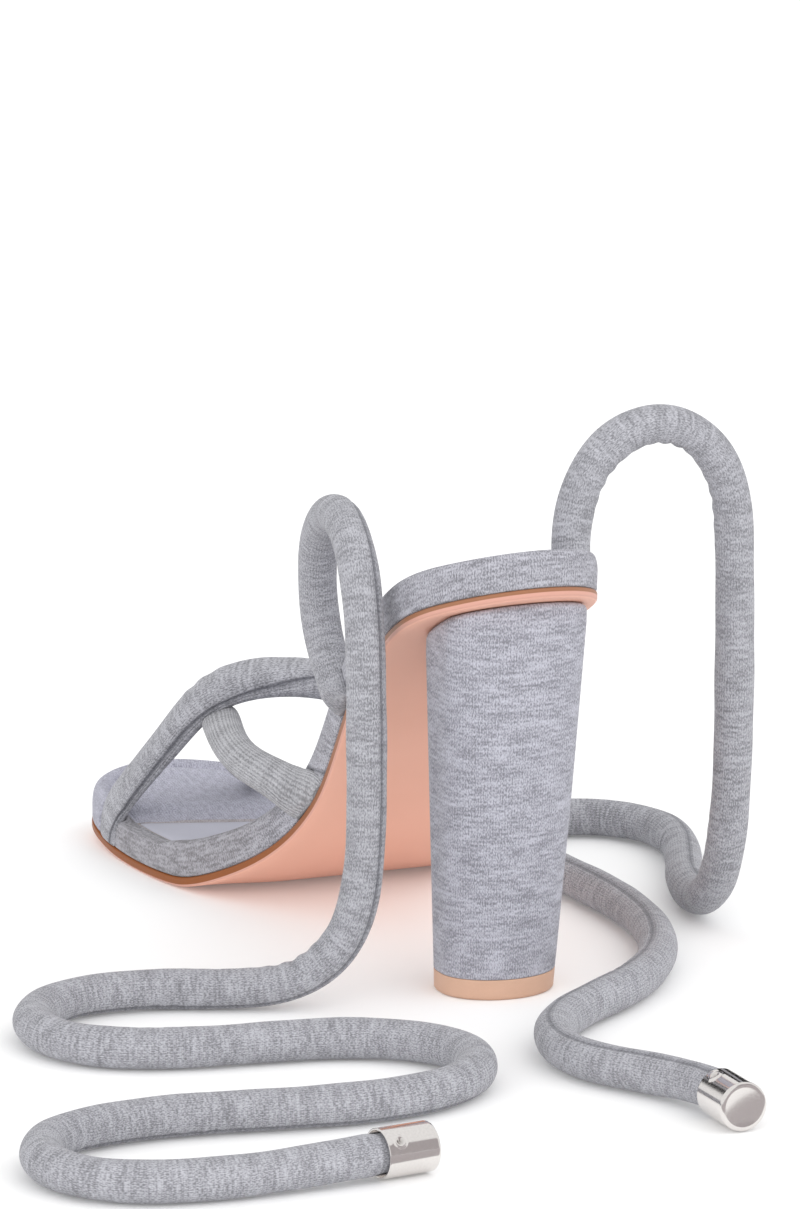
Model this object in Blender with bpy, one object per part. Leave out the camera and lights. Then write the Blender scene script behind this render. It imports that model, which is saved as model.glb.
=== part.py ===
"""Right-foot sandal with a chunky block heel, two crossed padded straps over the
toes and two long padded ties, all but the sole covered in marl jersey.

Sizes are in millimetres from the back edge of the sole, x to the wearer's right,
y to the toe, z up from the floor. They are turned to metres as each mesh is made.
"""

import bpy
import numpy as np

MM = 0.001
GAP = 0.3

# Where the middle of the shoe's box lies, so that it ends up over the origin.
MIDDLE_X = 0.155
MIDDLE_Y = 112.51

# Side view of the sole's underside: seat, shank, ball and toe.
BACK_HEIGHT = 104.8
SEAT_SLOPE = 21.7
SEAT_CORNER_Y = 44.0
BALL_CORNER_Y = 134.5
SEAT_ROUND = 34.6
SHANK_ROUND = 31.7
FLAT_START_Y = 155.0
FLAT_END_Y = 174.0
SOLE_LENGTH = 225.4
TOE_SPRING = 5.7

# Layers, measured square to the underside.
OUTSOLE_THICK = 2.5
FOOTBED_TOP = 12.0
SOCK_BASE = 8.6
SOCK_THICK = 1.2
SOCK_INSET = 5.2
SOCK_FRONT_Y = 174.0
SOCK_FRONT_SKEW = 0.26

# Plan of the sole: a row gives the inner edge and the outer edge at one y.
OUTLINE_COLUMNS = ("y", "inner_x", "outer_x")
OUTLINE = (
    (3.3, -12.6, 11.8),
    (12.0, -21.4, 20.3),
    (24.0, -25.1, 23.4),
    (40.0, -24.4, 22.8),
    (56.0, -23.2, 23.3),
    (72.0, -21.0, 25.2),
    (88.0, -18.4, 27.8),
    (104.0, -17.4, 30.5),
    (112.0, -19.1, 31.9),
    (120.0, -22.4, 33.4),
    (128.0, -26.3, 35.2),
    (136.0, -30.0, 37.1),
    (144.0, -33.0, 38.7),
    (152.0, -35.2, 39.8),
    (160.0, -36.7, 40.1),
    (176.0, -38.3, 37.6),
    (184.0, -38.7, 34.4),
    (192.0, -38.8, 29.9),
    (200.0, -38.4, 24.3),
    (208.0, -37.4, 17.6),
    (216.0, -34.2, 8.8),
    (222.3, -26.8, -2.0),
)
HEEL_END = (-0.4, 0.0)
TOE_END = (-14.6, SOLE_LENGTH)

# Block heel: a row gives the section at one share of the height.
HEEL_COLUMNS = ("share", "middle_x", "half_width", "back_y", "breast_y", "back_round", "corner")
HEEL = (
    (0.00, 1.9, 14.6, 19.0, 43.0, 12.0, 9.5),
    (0.50, 1.3, 16.5, 12.2, 40.7, 11.5, 10.8),
    (1.00, 0.6, 18.5, 5.4, 38.0, 11.0, 12.0),
)
TIP_HEIGHT = 5.3

# Crossed straps: a row gives the middle of one section, its size and its outer side.
STRAP_COLUMNS = ("x", "y", "z", "width", "thick", "out_x", "out_y", "out_z")
TOE_STRAP = (
    (-37.6, 194.4, 4.0, 12.6, 3.6, -1.00, 0.05, 0.00),
    (-37.7, 192.8, 9.5, 12.0, 4.2, -1.00, 0.10, 0.10),
    (-35.3, 186.6, 19.0, 12.0, 5.8, -0.85, 0.10, 0.42),
    (-28.2, 173.4, 35.4, 11.6, 8.0, -0.66, 0.05, 0.72),
    (-19.4, 161.3, 49.4, 12.0, 9.4, -0.42, -0.05, 0.90),
    (-6.0, 152.0, 53.6, 12.2, 9.6, -0.10, -0.10, 1.00),
    (8.0, 143.8, 51.8, 11.4, 9.2, 0.25, -0.10, 0.96),
    (24.6, 137.4, 42.2, 11.4, 8.2, 0.66, -0.05, 0.74),
    (33.8, 134.8, 27.0, 12.6, 6.4, 0.92, -0.10, 0.34),
    (36.5, 133.5, 17.5, 14.0, 4.6, 1.00, -0.22, 0.05),
    (35.3, 130.2, 11.6, 14.6, 4.0, 1.00, -0.22, 0.00),
)
BALL_STRAP = (
    (-17.0, 104.2, 29.4, 13.6, 3.6, -0.98, -0.20, 0.00),
    (-18.2, 110.6, 33.2, 12.6, 4.4, -0.95, -0.20, 0.15),
    (-21.2, 119.2, 35.8, 11.0, 5.8, -0.84, -0.12, 0.52),
    (-23.6, 129.4, 37.2, 10.0, 6.8, -0.74, -0.05, 0.66),
    (-24.0, 142.0, 39.2, 9.8, 7.2, -0.66, 0.05, 0.75),
    (-20.2, 159.0, 41.4, 10.4, 7.6, -0.40, 0.15, 0.90),
    (-13.4, 173.5, 36.6, 11.0, 7.6, -0.10, 0.45, 0.88),
    (-4.6, 185.5, 26.4, 11.6, 7.0, 0.05, 0.62, 0.78),
    (8.4, 196.8, 16.8, 12.6, 5.8, 0.28, 0.62, 0.72),
    (18.6, 203.4, 11.0, 13.6, 4.4, 0.66, 0.62, 0.42),
    (21.2, 205.0, 5.0, 14.2, 3.8, 0.76, 0.64, 0.00),
)

# How far the straps run on under the edge before they are trimmed.
STRAP_RUN_ON = 4.0

# Ties: each row is a place that the middle of the cord passes through.
TIE_DIAMETER = 10.0
TIE_POINTS = 38
TIE_COLUMNS = ("x", "y", "z")
ARCH_TIE = (
    (-21.4, 71.9, 64.5),
    (-21.4, 77.6, 70.5),
    (-21.6, 83.2, 76.8),
    (-22.2, 86.9, 88.0),
    (-23.6, 83.4, 102.0),
    (-26.0, 71.0, 113.0),
    (-29.0, 54.0, 115.5),
    (-31.8, 38.0, 108.0),
    (-33.8, 28.6, 92.5),
    (-34.8, 25.2, 73.0),
    (-35.2, 24.2, 52.0),
    (-36.2, 24.6, 33.0),
    (-40.6, 26.4, 17.6),
    (-50.0, 30.4, 8.4),
    (-64.0, 36.4, 5.4),
    (-84.0, 44.0, 5.3),
    (-106.0, 43.0, 5.3),
    (-121.0, 26.0, 5.3),
    (-117.0, 4.0, 5.3),
    (-97.0, -8.0, 5.3),
    (-72.0, -12.0, 5.3),
    (-48.0, -20.0, 5.3),
    (-36.0, -38.0, 5.3),
    (-43.0, -58.0, 5.3),
    (-64.0, -68.0, 5.3),
    (-90.0, -67.0, 5.3),
    (-114.0, -63.0, 5.3),
    (-135.0, -63.0, 5.3),
    (-152.5, -71.0, 5.3),
    (-159.5, -88.0, 5.3),
    (-152.0, -105.0, 5.3),
    (-134.0, -113.0, 5.3),
    (-110.0, -114.0, 5.6),
    (-93.0, -113.0, 6.2),
    (-78.0, -111.0, 6.2),
)
HEEL_TIE = (
    (23.4, 32.2, 93.9),
    (24.0, 35.6, 101.2),
    (25.0, 38.6, 109.0),
    (28.4, 40.6, 121.0),
    (36.6, 41.6, 131.6),
    (49.2, 42.4, 135.8),
    (61.8, 43.2, 131.0),
    (69.4, 43.8, 119.6),
    (71.8, 44.2, 103.0),
    (72.2, 44.4, 86.0),
    (72.4, 44.8, 66.0),
    (72.6, 46.0, 46.0),
    (73.0, 49.4, 29.0),
    (73.8, 57.6, 14.0),
    (75.6, 71.0, 6.6),
    (79.0, 86.0, 5.4),
    (87.0, 106.0, 5.3),
    (95.0, 127.0, 5.3),
    (96.6, 146.0, 5.3),
    (88.0, 161.0, 5.3),
    (73.0, 165.6, 5.3),
    (59.0, 158.0, 5.3),
    (52.8, 142.0, 5.3),
    (54.0, 120.0, 5.3),
    (56.0, 96.0, 5.3),
    (56.0, 72.0, 5.3),
    (52.0, 48.0, 5.3),
    (42.0, 24.0, 5.3),
    (26.0, 4.0, 5.3),
    (6.0, -12.0, 5.3),
    (-9.0, -30.0, 5.3),
    (-12.0, -53.0, 5.3),
    (-2.0, -74.0, 5.6),
    (4.0, -92.0, 6.2),
    (4.0, -107.0, 6.2),
)

# Metal caps on the ends of the ties.
FERRULE_RADIUS = 5.9
FERRULE_BORE = 5.35
FERRULE_LENGTH = 13.5
FERRULE_END = 2.2
FERRULE_SIDES = 24

RING_SIDES = 16

JERSEY = (0.42, 0.43, 0.47, 1.0)
SOCK_GREY = (0.36, 0.36, 0.40, 1.0)
PEACH = (0.70, 0.40, 0.30, 1.0)
TIP_TAN = (0.66, 0.42, 0.27, 1.0)
SILVER = (0.80, 0.78, 0.76, 1.0)


def clear_scene():
    for obj in list(bpy.data.objects):
        bpy.data.objects.remove(obj, do_unlink=True)


def make_collection(name, helper):
    collection = bpy.data.collections.new(name)
    bpy.context.scene.collection.children.link(collection)
    collection.hide_render = helper
    return collection


def material(name, colour, metallic, roughness):
    made = bpy.data.materials.new(name)
    made.use_nodes = True
    shader = made.node_tree.nodes["Principled BSDF"]
    shader.inputs["Base Color"].default_value = colour
    shader.inputs["Metallic"].default_value = metallic
    shader.inputs["Roughness"].default_value = roughness
    made.diffuse_color = colour
    return made


def to_world(points):
    """Millimetres from the sole's back edge to metres about the shoe's middle."""
    shifted = np.asarray(points, float) - np.array([MIDDLE_X, MIDDLE_Y, 0.0])
    return shifted * MM


def add_mesh(name, points, faces, collection, finish=None):
    mesh = bpy.data.meshes.new(name)
    mesh.from_pydata([tuple(p) for p in to_world(points)], [], faces)
    mesh.validate()
    mesh.update()
    obj = bpy.data.objects.new(name, mesh)
    collection.objects.link(obj)
    if finish is not None:
        mesh.materials.append(finish)
    else:
        obj.hide_render = True
        obj.display_type = "WIRE"
    return obj


def cut(target, cutter, operation):
    step = target.modifiers.new(operation.lower() + "_" + cutter.name, "BOOLEAN")
    step.operation = operation
    step.solver = "EXACT"
    step.object = cutter


def smooth_rows(rows, count):
    """Rows read evenly along a natural cubic curve through the rows of a table."""
    rows = np.asarray(rows, float)
    steps = np.linalg.norm(np.diff(rows[:, :3], axis=0), axis=1)
    place = np.concatenate([[0.0], np.cumsum(steps)])
    size = len(rows)
    system = np.eye(size)
    right = np.zeros_like(rows)
    for i in range(1, size - 1):
        before = place[i] - place[i - 1]
        after = place[i + 1] - place[i]
        system[i, i - 1 : i + 2] = (before, 2 * (before + after), after)
        rise = (rows[i + 1] - rows[i]) / after - (rows[i] - rows[i - 1]) / before
        right[i] = 6 * rise
    bend = np.linalg.solve(system, right)

    def read(at):
        k = np.clip(np.searchsorted(place, at, side="right") - 1, 0, size - 2)
        width = (place[k + 1] - place[k])[:, None]
        a = (place[k + 1] - at)[:, None] / width
        b = 1 - a
        curve = (a**3 - a) * bend[k] + (b**3 - b) * bend[k + 1]
        return a * rows[k] + b * rows[k + 1] + curve * width**2 / 6

    fine = read(np.linspace(0, place[-1], 2000))
    lengths = np.linalg.norm(np.diff(fine[:, :3], axis=0), axis=1)
    along = np.concatenate([[0.0], np.cumsum(lengths)])
    wanted = np.linspace(0, along[-1], count)
    return read(np.interp(wanted, along, np.linspace(0, place[-1], 2000)))


def corner_curve(start, corner, end, count=24):
    t = np.linspace(0, 1, count)[:, None]
    return (1 - t) ** 2 * start + 2 * t * (1 - t) * corner + t**2 * end


def underside_points():
    """Side view of the underside as one row of points, back to toe."""
    back = np.array([0.0, BACK_HEIGHT])
    drop = np.tan(np.radians(SEAT_SLOPE)) * SEAT_CORNER_Y
    seat = np.array([SEAT_CORNER_Y, BACK_HEIGHT - drop])
    ball = np.array([BALL_CORNER_Y, 0.0])
    along_seat = (seat - back) / np.linalg.norm(seat - back)
    along_shank = (ball - seat) / np.linalg.norm(ball - seat)
    first = corner_curve(seat - along_seat * SEAT_ROUND, seat, seat + along_shank * SEAT_ROUND)
    flat_start = np.array([FLAT_START_Y, 0.0])
    second = corner_curve(ball - along_shank * SHANK_ROUND, ball, flat_start)
    toe_y = np.linspace(FLAT_END_Y, SOLE_LENGTH + 4.0, 16)
    toe_z = TOE_SPRING * ((toe_y - FLAT_END_Y) / (SOLE_LENGTH - FLAT_END_Y)) ** 2
    return np.concatenate([[back], first, second, np.stack([toe_y, toe_z], axis=1)])


UNDERSIDE = underside_points()


def underside(y):
    return np.interp(y, UNDERSIDE[:, 0], UNDERSIDE[:, 1])


def lean(y):
    """How far the layers lean to the toe: square to the shank, upright at the back."""
    y = np.asarray(y, float)
    slope = np.arctan2(underside(y - 1.5) - underside(y + 1.5), 3.0)
    share = np.clip((y - 4.0) / 36.0, 0, 1)
    return slope * share * share * (3 - 2 * share)


def lift(x, y, height):
    """The point at this height over the underside, above the plan point x, y."""
    angle = lean(y)
    return np.stack(
        [x, y + height * np.sin(angle), underside(y) + height * np.cos(angle)], axis=-1
    )


def plan_sides():
    """Stations along the sole with the x of both edges, close together at the ends."""
    table = np.array(OUTLINE)
    inner = np.concatenate([[HEEL_END], table[:, [1, 0]], [TOE_END]])
    outer = np.concatenate([[HEEL_END], table[:, [2, 0]], [TOE_END]])
    ring = np.concatenate([outer, inner[-2:0:-1]])
    loop = np.concatenate([ring[-6:], ring, ring[:7]])
    padded = np.concatenate([loop, np.zeros((len(loop), 1))], axis=1)
    fine = smooth_rows(padded, 6000)[:, :2]
    first = np.linspace(0, 90, 7)
    back = 24.0 * (1 - np.cos(np.radians(first)))
    rear = np.linspace(24.0, FLAT_START_Y, 19)[1:]
    flat = np.linspace(FLAT_START_Y, FLAT_END_Y, 4)[1:]
    toe = np.linspace(FLAT_END_Y, 198.0, 4)[1:-1]
    front = 198.0 + (SOLE_LENGTH - 198.0) * np.cos(np.radians(np.linspace(90, 0, 8)))
    stations = np.concatenate([back, rear, flat, toe, front])
    edge_x = []
    for side in (-1, 1):
        centre = np.interp(fine[:, 1], [0, SOLE_LENGTH], [HEEL_END[0], TOE_END[0]])
        part = fine[(fine[:, 0] - centre) * side >= 0]
        part = part[np.argsort(part[:, 1])]
        edge_x.append(np.interp(stations, part[:, 1], part[:, 0]))
    edge_x[0][0] = edge_x[1][0] = HEEL_END[0]
    edge_x[0][-1] = edge_x[1][-1] = TOE_END[0]
    return stations, edge_x[0], edge_x[1]


STATIONS, INNER_X, OUTER_X = plan_sides()
PLAN = np.concatenate(
    [
        np.stack([OUTER_X, STATIONS], axis=1),
        np.stack([INNER_X, STATIONS], axis=1)[-2:0:-1],
    ]
)


def plan_normals():
    ahead = np.roll(PLAN, -1, axis=0) - np.roll(PLAN, 1, axis=0)
    normal = np.stack([ahead[:, 1], -ahead[:, 0]], axis=1)
    return normal / np.linalg.norm(normal, axis=1, keepdims=True)


PLAN_OUT = plan_normals()


def sole_ring(inset, height):
    """The plan drawn in by inset and set at a height over the underside."""
    flat = PLAN - PLAN_OUT * inset
    return lift(flat[:, 0], flat[:, 1], height)


def strip_cap(size, offset, facing_up):
    """Faces that join the outer and inner side of one ring, station by station."""
    half = len(STATIONS)
    faces = []
    for k in range(half - 1):
        right_a, right_b = k, k + 1
        left_a, left_b = (size - k) % size, (size - k - 1) % size
        corners = [right_a, right_b, left_b, left_a]
        corners = [c for i, c in enumerate(corners) if c not in corners[:i]]
        if not facing_up:
            corners = corners[::-1]
        faces.append([c + offset for c in corners])
    return faces


def ring_walls(count, size):
    faces = []
    for r in range(count - 1):
        for i in range(size):
            j = (i + 1) % size
            a, b = r * size, (r + 1) * size
            faces.append((a + i, a + j, b + j, b + i))
    return faces


def sole_layer(name, rows, collection, finish=None):
    """A layer of the sole from (inset, height) rows, underside first."""
    rings = [sole_ring(inset, height) for inset, height in rows]
    size = len(PLAN)
    faces = ring_walls(len(rings), size)
    faces += strip_cap(size, 0, False)
    faces += strip_cap(size, (len(rings) - 1) * size, True)
    return add_mesh(name, np.concatenate(rings), faces, collection, finish)


def tube_sections(rows, grow, count, stretch):
    """Rounded sections along a strap: rings of points, grown and stretched at the ends."""
    rows = smooth_rows(rows, count)
    middle = rows[:, :3].copy()
    ahead = np.gradient(middle, axis=0)
    ahead /= np.linalg.norm(ahead, axis=1, keepdims=True)
    middle[0] -= ahead[0] * stretch
    middle[-1] += ahead[-1] * stretch
    out = rows[:, 5:8] - ahead * np.sum(rows[:, 5:8] * ahead, axis=1, keepdims=True)
    out /= np.linalg.norm(out, axis=1, keepdims=True)
    across = np.cross(out, ahead)
    turn = np.linspace(0, 2 * np.pi, RING_SIDES, endpoint=False)
    power = 2 / 2.5
    wide = np.sign(np.cos(turn)) * np.abs(np.cos(turn)) ** power
    high = np.sign(np.sin(turn)) * np.abs(np.sin(turn)) ** power
    half_wide = (rows[:, 3] / 2 + grow)[:, None, None]
    half_high = (rows[:, 4] / 2 + grow)[:, None, None]
    return (
        middle[:, None, :]
        + across[:, None, :] * wide[None, :, None] * half_wide
        + out[:, None, :] * high[None, :, None] * half_high
    )


def tube_mesh(name, sections, collection, finish=None):
    count, size = sections.shape[:2]
    faces = ring_walls(count, size)
    faces.append(tuple(range(size))[::-1])
    faces.append(tuple(range((count - 1) * size, count * size)))
    return add_mesh(name, sections.reshape(-1, 3), faces, collection, finish)


def round_sections(path, radius, sides):
    """Circles square to a path."""
    ahead = np.gradient(path, axis=0)
    ahead /= np.linalg.norm(ahead, axis=1, keepdims=True)
    side = np.cross(ahead, np.array([0.31, 0.11, 0.94]))
    side /= np.linalg.norm(side, axis=1, keepdims=True)
    other = np.cross(ahead, side)
    turn = np.linspace(0, 2 * np.pi, sides, endpoint=False)
    radius = np.broadcast_to(np.asarray(radius, float), (len(path),))[:, None, None]
    return path[:, None, :] + radius * (
        side[:, None, :] * np.cos(turn)[None, :, None]
        + other[:, None, :] * np.sin(turn)[None, :, None]
    )


def heel_ring(share, grow=0.0):
    """Plan of the heel at a share of its height: round back, soft corners, flat breast."""
    rows = np.array(HEEL)
    middle, half, back, breast, depth, corner = (
        np.interp(share, rows[:, 0], rows[:, c]) for c in range(1, 7)
    )
    half, back, breast = half + grow, back - grow, breast + grow
    arc = np.radians(np.linspace(0, 90, 9))
    arc_x = half * np.sin(arc)
    arc_y = back + depth * (1 - np.cos(arc))
    turn = np.radians(np.linspace(0, 90, 5))
    corner_x = half - corner * (1 - np.cos(turn))
    corner_y = breast - corner + corner * np.sin(turn)
    side_x = np.concatenate([arc_x, corner_x])
    side_y = np.concatenate([arc_y, corner_y])
    outer = np.stack([middle + side_x, side_y], axis=1)
    inner = np.stack([middle - side_x, side_y], axis=1)[:0:-1]
    return np.concatenate([outer, inner])


def heel_cap(size, offset, facing_up):
    """Strips across a heel ring from its back to its breast."""
    last = size // 2
    faces = []
    for k in range(last):
        corners = [k, k + 1, (size - k - 1) % size, (size - k) % size]
        corners = [c for i, c in enumerate(corners) if c not in corners[:i]]
        if not facing_up:
            corners = corners[::-1]
        faces.append([c + offset for c in corners])
    return faces


def heel_solid(name, low, high, levels, collection, finish):
    """A length of the heel from a level base up to a top given as a function of y."""
    rings = []
    for level in levels:
        plan = heel_ring(level["share"], level.get("grow", 0.0))
        z = low + (high(plan[:, 1]) - low) * level["rise"]
        rings.append(np.concatenate([plan, z[:, None]], axis=1))
    size = len(rings[0])
    faces = ring_walls(len(rings), size)
    faces += heel_cap(size, 0, False)
    faces += heel_cap(size, (len(rings) - 1) * size, True)
    return add_mesh(name, np.concatenate(rings), faces, collection, finish)


def make_cord(name, rows, collection, finish):
    """A padded round tie along its route."""
    path = to_world(smooth_rows(rows, TIE_POINTS))
    curve = bpy.data.curves.new(name, "CURVE")
    curve.dimensions = "3D"
    curve.bevel_depth = TIE_DIAMETER / 2 * MM
    curve.bevel_resolution = 3
    curve.use_fill_caps = True
    spline = curve.splines.new("POLY")
    spline.points.add(len(path) - 1)
    for point, place in zip(spline.points, path):
        point.co = (place[0], place[1], place[2], 1.0)
    obj = bpy.data.objects.new(name, curve)
    collection.objects.link(obj)
    curve.materials.append(finish)
    return obj


def make_ferrule(name, rows, collection, finish):
    """A metal cup pushed over the end of a tie."""
    rows = np.asarray(rows, float)
    end = rows[-1, :3]
    ahead = rows[-1, :3] - rows[-2, :3]
    ahead /= np.linalg.norm(ahead)
    floor = end + ahead * GAP
    mouth = floor - ahead * (FERRULE_LENGTH - FERRULE_END)
    tip = floor + ahead * FERRULE_END
    profile = (
        (floor, FERRULE_BORE - 0.5),
        (floor - ahead * 0.5, FERRULE_BORE),
        (mouth, FERRULE_BORE),
        (mouth, FERRULE_RADIUS),
        (tip - ahead * 0.6, FERRULE_RADIUS),
        (tip, FERRULE_RADIUS - 0.6),
    )
    side = np.cross(ahead, np.array([0.0, 0.0, 1.0]))
    side /= np.linalg.norm(side)
    other = np.cross(ahead, side)
    turn = np.linspace(0, 2 * np.pi, FERRULE_SIDES, endpoint=False)
    rings = [
        centre + radius * (np.outer(np.cos(turn), side) + np.outer(np.sin(turn), other))
        for centre, radius in profile
    ]
    faces = ring_walls(len(rings), FERRULE_SIDES)
    faces.append(tuple(range(FERRULE_SIDES))[::-1])
    faces.append(tuple(range((len(rings) - 1) * FERRULE_SIDES, len(rings) * FERRULE_SIDES)))
    return add_mesh(name, np.concatenate(rings), faces, collection, finish)


def make_trim(name, shift, collection):
    """A block over the toe that trims the sock along its slanting front edge."""
    x = np.array([-70.0, 70.0])
    near = SOCK_FRONT_Y + shift - SOCK_FRONT_SKEW * x
    corners = []
    for z in (-20.0, 60.0):
        corners += [(x[0], near[0], z), (x[1], near[1], z), (x[1], 290.0, z), (x[0], 290.0, z)]
    faces = [(3, 2, 1, 0), (4, 5, 6, 7), (0, 1, 5, 4), (1, 2, 6, 5), (2, 3, 7, 6), (3, 0, 4, 7)]
    return add_mesh(name, np.array(corners), faces, collection)


clear_scene()
parts = make_collection("chunky_heel_sandal", False)
helpers = make_collection("cutters", True)

jersey = material("marl_jersey", JERSEY, 0.0, 0.95)
sock_cloth = material("smooth_sock", SOCK_GREY, 0.0, 0.75)
sole_leather = material("peach_sole", PEACH, 0.0, 0.45)
tip_rubber = material("heel_tip_rubber", TIP_TAN, 0.0, 0.5)
silver = material("polished_metal", SILVER, 1.0, 0.12)

# Outsole: a thin sole with a softened edge.
outsole = sole_layer(
    "outsole",
    ((0.7, 0.0), (0.1, 0.4), (0.0, 1.2), (0.1, 2.2), (0.5, OUTSOLE_THICK)),
    parts,
    sole_leather,
)

# Footbed: a padded board wrapped in jersey, with a pocket in its top for the sock.
base = OUTSOLE_THICK + GAP
footbed = sole_layer(
    "footbed",
    (
        (1.2, base),
        (0.4, base + 0.5),
        (0.0, base + 2.4),
        (-0.2, base + 5.0),
        (0.0, FOOTBED_TOP - 2.0),
        (0.6, FOOTBED_TOP - 0.6),
        (1.8, FOOTBED_TOP),
        (4.4, FOOTBED_TOP),
        (7.5, FOOTBED_TOP - 0.4),
    ),
    parts,
    jersey,
)

# Insole sock: a thin smooth sheet that ends in a slanting edge behind the toes.
insole_sock = sole_layer(
    "insole_sock",
    (
        (SOCK_INSET, SOCK_BASE),
        (SOCK_INSET, SOCK_BASE + SOCK_THICK - 0.3),
        (SOCK_INSET + 0.3, SOCK_BASE + SOCK_THICK),
    ),
    parts,
    sock_cloth,
)
cut(insole_sock, make_trim("sock_front", 0.0, helpers), "DIFFERENCE")
pocket = sole_layer(
    "sock_pocket",
    ((SOCK_INSET - GAP, SOCK_BASE - GAP), (SOCK_INSET - GAP, FOOTBED_TOP + 6.0)),
    helpers,
)
cut(pocket, make_trim("pocket_front", GAP, helpers), "DIFFERENCE")
cut(footbed, pocket, "DIFFERENCE")

# Crossed straps: the toe strap lies over the ball strap and they are sewn where they cross.
vamp_straps = tube_mesh(
    "vamp_straps", tube_sections(TOE_STRAP, 0.0, 34, STRAP_RUN_ON), parts, jersey
)
ball_strap = tube_mesh("ball_strap", tube_sections(BALL_STRAP, 0.0, 34, STRAP_RUN_ON), helpers)
cut(vamp_straps, ball_strap, "UNION")
strap_trim = sole_layer("strap_trim", ((-8.0, -8.0), (-8.0, OUTSOLE_THICK + GAP)), helpers)
cut(vamp_straps, strap_trim, "DIFFERENCE")
for label, table in (("toe_strap_seat", TOE_STRAP), ("ball_strap_seat", BALL_STRAP)):
    seat_cutter = tube_mesh(label, tube_sections(table, GAP, 34, STRAP_RUN_ON + 2.0), helpers)
    cut(footbed, seat_cutter, "DIFFERENCE")

# Ties: sewn into the edge of the footbed, let down beside the shoe.
arch_tie = make_cord("arch_tie", ARCH_TIE, parts, jersey)
heel_tie = make_cord("heel_tie", HEEL_TIE, parts, jersey)
for label, table in (("arch_tie_seat", ARCH_TIE), ("heel_tie_seat", HEEL_TIE)):
    start, further = smooth_rows(table, TIE_POINTS)[:2]
    ahead = (further - start) / np.linalg.norm(further - start)
    route = start + ahead * np.array([-4.0, 6.0, 16.0])[:, None]
    seat_cutter = tube_mesh(label, round_sections(route, TIE_DIAMETER / 2 + GAP + 0.1, 20), helpers)
    cut(footbed, seat_cutter, "DIFFERENCE")
arch_tie_ferrule = make_ferrule("arch_tie_ferrule", ARCH_TIE, parts, silver)
heel_tie_ferrule = make_ferrule("heel_tie_ferrule", HEEL_TIE, parts, silver)

# Block heel under the seat, and the tip that it stands on.
heel_block = heel_solid(
    "heel_block",
    TIP_HEIGHT + GAP,
    lambda y: underside(y) - GAP,
    (
        {"share": 0.05, "rise": 0.0, "grow": -0.4},
        {"share": 0.055, "rise": 0.006},
        {"share": 0.25, "rise": 0.2},
        {"share": 0.5, "rise": 0.45},
        {"share": 0.75, "rise": 0.7},
        {"share": 0.97, "rise": 0.95},
        {"share": 1.0, "rise": 0.99, "grow": -0.2},
        {"share": 1.0, "rise": 1.0, "grow": -1.0},
    ),
    parts,
    jersey,
)
heel_tip = heel_solid(
    "heel_tip",
    0.0,
    lambda y: np.full_like(y, TIP_HEIGHT),
    (
        {"share": 0.0, "rise": 0.0, "grow": -0.7},
        {"share": 0.0, "rise": 0.12},
        {"share": 0.05, "rise": 0.95},
        {"share": 0.05, "rise": 1.0, "grow": -0.3},
    ),
    parts,
    tip_rubber,
)
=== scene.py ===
# %% [markdown]
# # A block heel sandal covered in marl jersey
# This lesson dresses a packed CAD model, the frame, in cloth, rubber and metal.
# The frame gives the place and the size of every piece, so nothing is fitted by eye:
# each visual piece is worked out with numpy from the same few tables as its solid.

import bmesh
import bpy
import numpy as np
from mathutils import Matrix


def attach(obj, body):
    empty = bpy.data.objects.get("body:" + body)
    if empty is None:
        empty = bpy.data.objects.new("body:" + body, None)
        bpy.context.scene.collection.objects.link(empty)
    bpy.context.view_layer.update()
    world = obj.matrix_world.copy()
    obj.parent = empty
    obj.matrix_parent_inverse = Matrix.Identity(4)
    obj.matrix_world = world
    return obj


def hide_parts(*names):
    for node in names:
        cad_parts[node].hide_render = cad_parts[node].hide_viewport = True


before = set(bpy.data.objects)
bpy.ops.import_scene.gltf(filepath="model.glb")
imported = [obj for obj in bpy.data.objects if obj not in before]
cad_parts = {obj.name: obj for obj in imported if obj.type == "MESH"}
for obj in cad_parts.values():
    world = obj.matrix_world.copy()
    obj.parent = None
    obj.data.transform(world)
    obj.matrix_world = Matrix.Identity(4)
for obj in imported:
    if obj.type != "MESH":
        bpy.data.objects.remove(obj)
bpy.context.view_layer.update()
print("CAD nodes:", ", ".join(sorted(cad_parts)))

# %% [markdown]
# ## The shoe's own sizes
# A shoemaker measures from the back edge of the sole: x to the wearer's right, y to the
# toe and z up from the floor, in millimetres. Blender works in metres about the middle
# of the shoe. One small function goes from the first to the second.

# %% From the shoemaker's millimetres to metres
MIDDLE = np.array([0.155, 112.51, 0.0])


def metres(points):
    """The point less the middle of the shoe's box, divided by a thousand."""
    return (np.asarray(points, float) - MIDDLE) * 0.001


print("back edge of the sole in metres:", metres([0, 0, 0]).round(4))

# %% [markdown]
# ## The camera
# The picture was taken from behind the heel and a little above it, with a long lens from
# about two metres, so that lines hardly converge. The camera could be turned with a
# constraint, but a matrix built from three directions is exact: one points back from the
# shoe to the lens, one to the right of the picture and one up.

# %% Camera
TURN, RISE, DISTANCE = np.radians(-22.45), np.radians(13.05), 2117.25
LOOK_AT = np.array([0.0, 105.0, 60.0])
AIM_RIGHT, AIM_UP = 6.727, 21.215
FOCAL_LENGTH, SENSOR_WIDTH = 249.6, 36.0


def unit(vectors):
    """Vectors divided by their own lengths."""
    return vectors / np.linalg.norm(vectors, axis=-1, keepdims=True)


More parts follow.
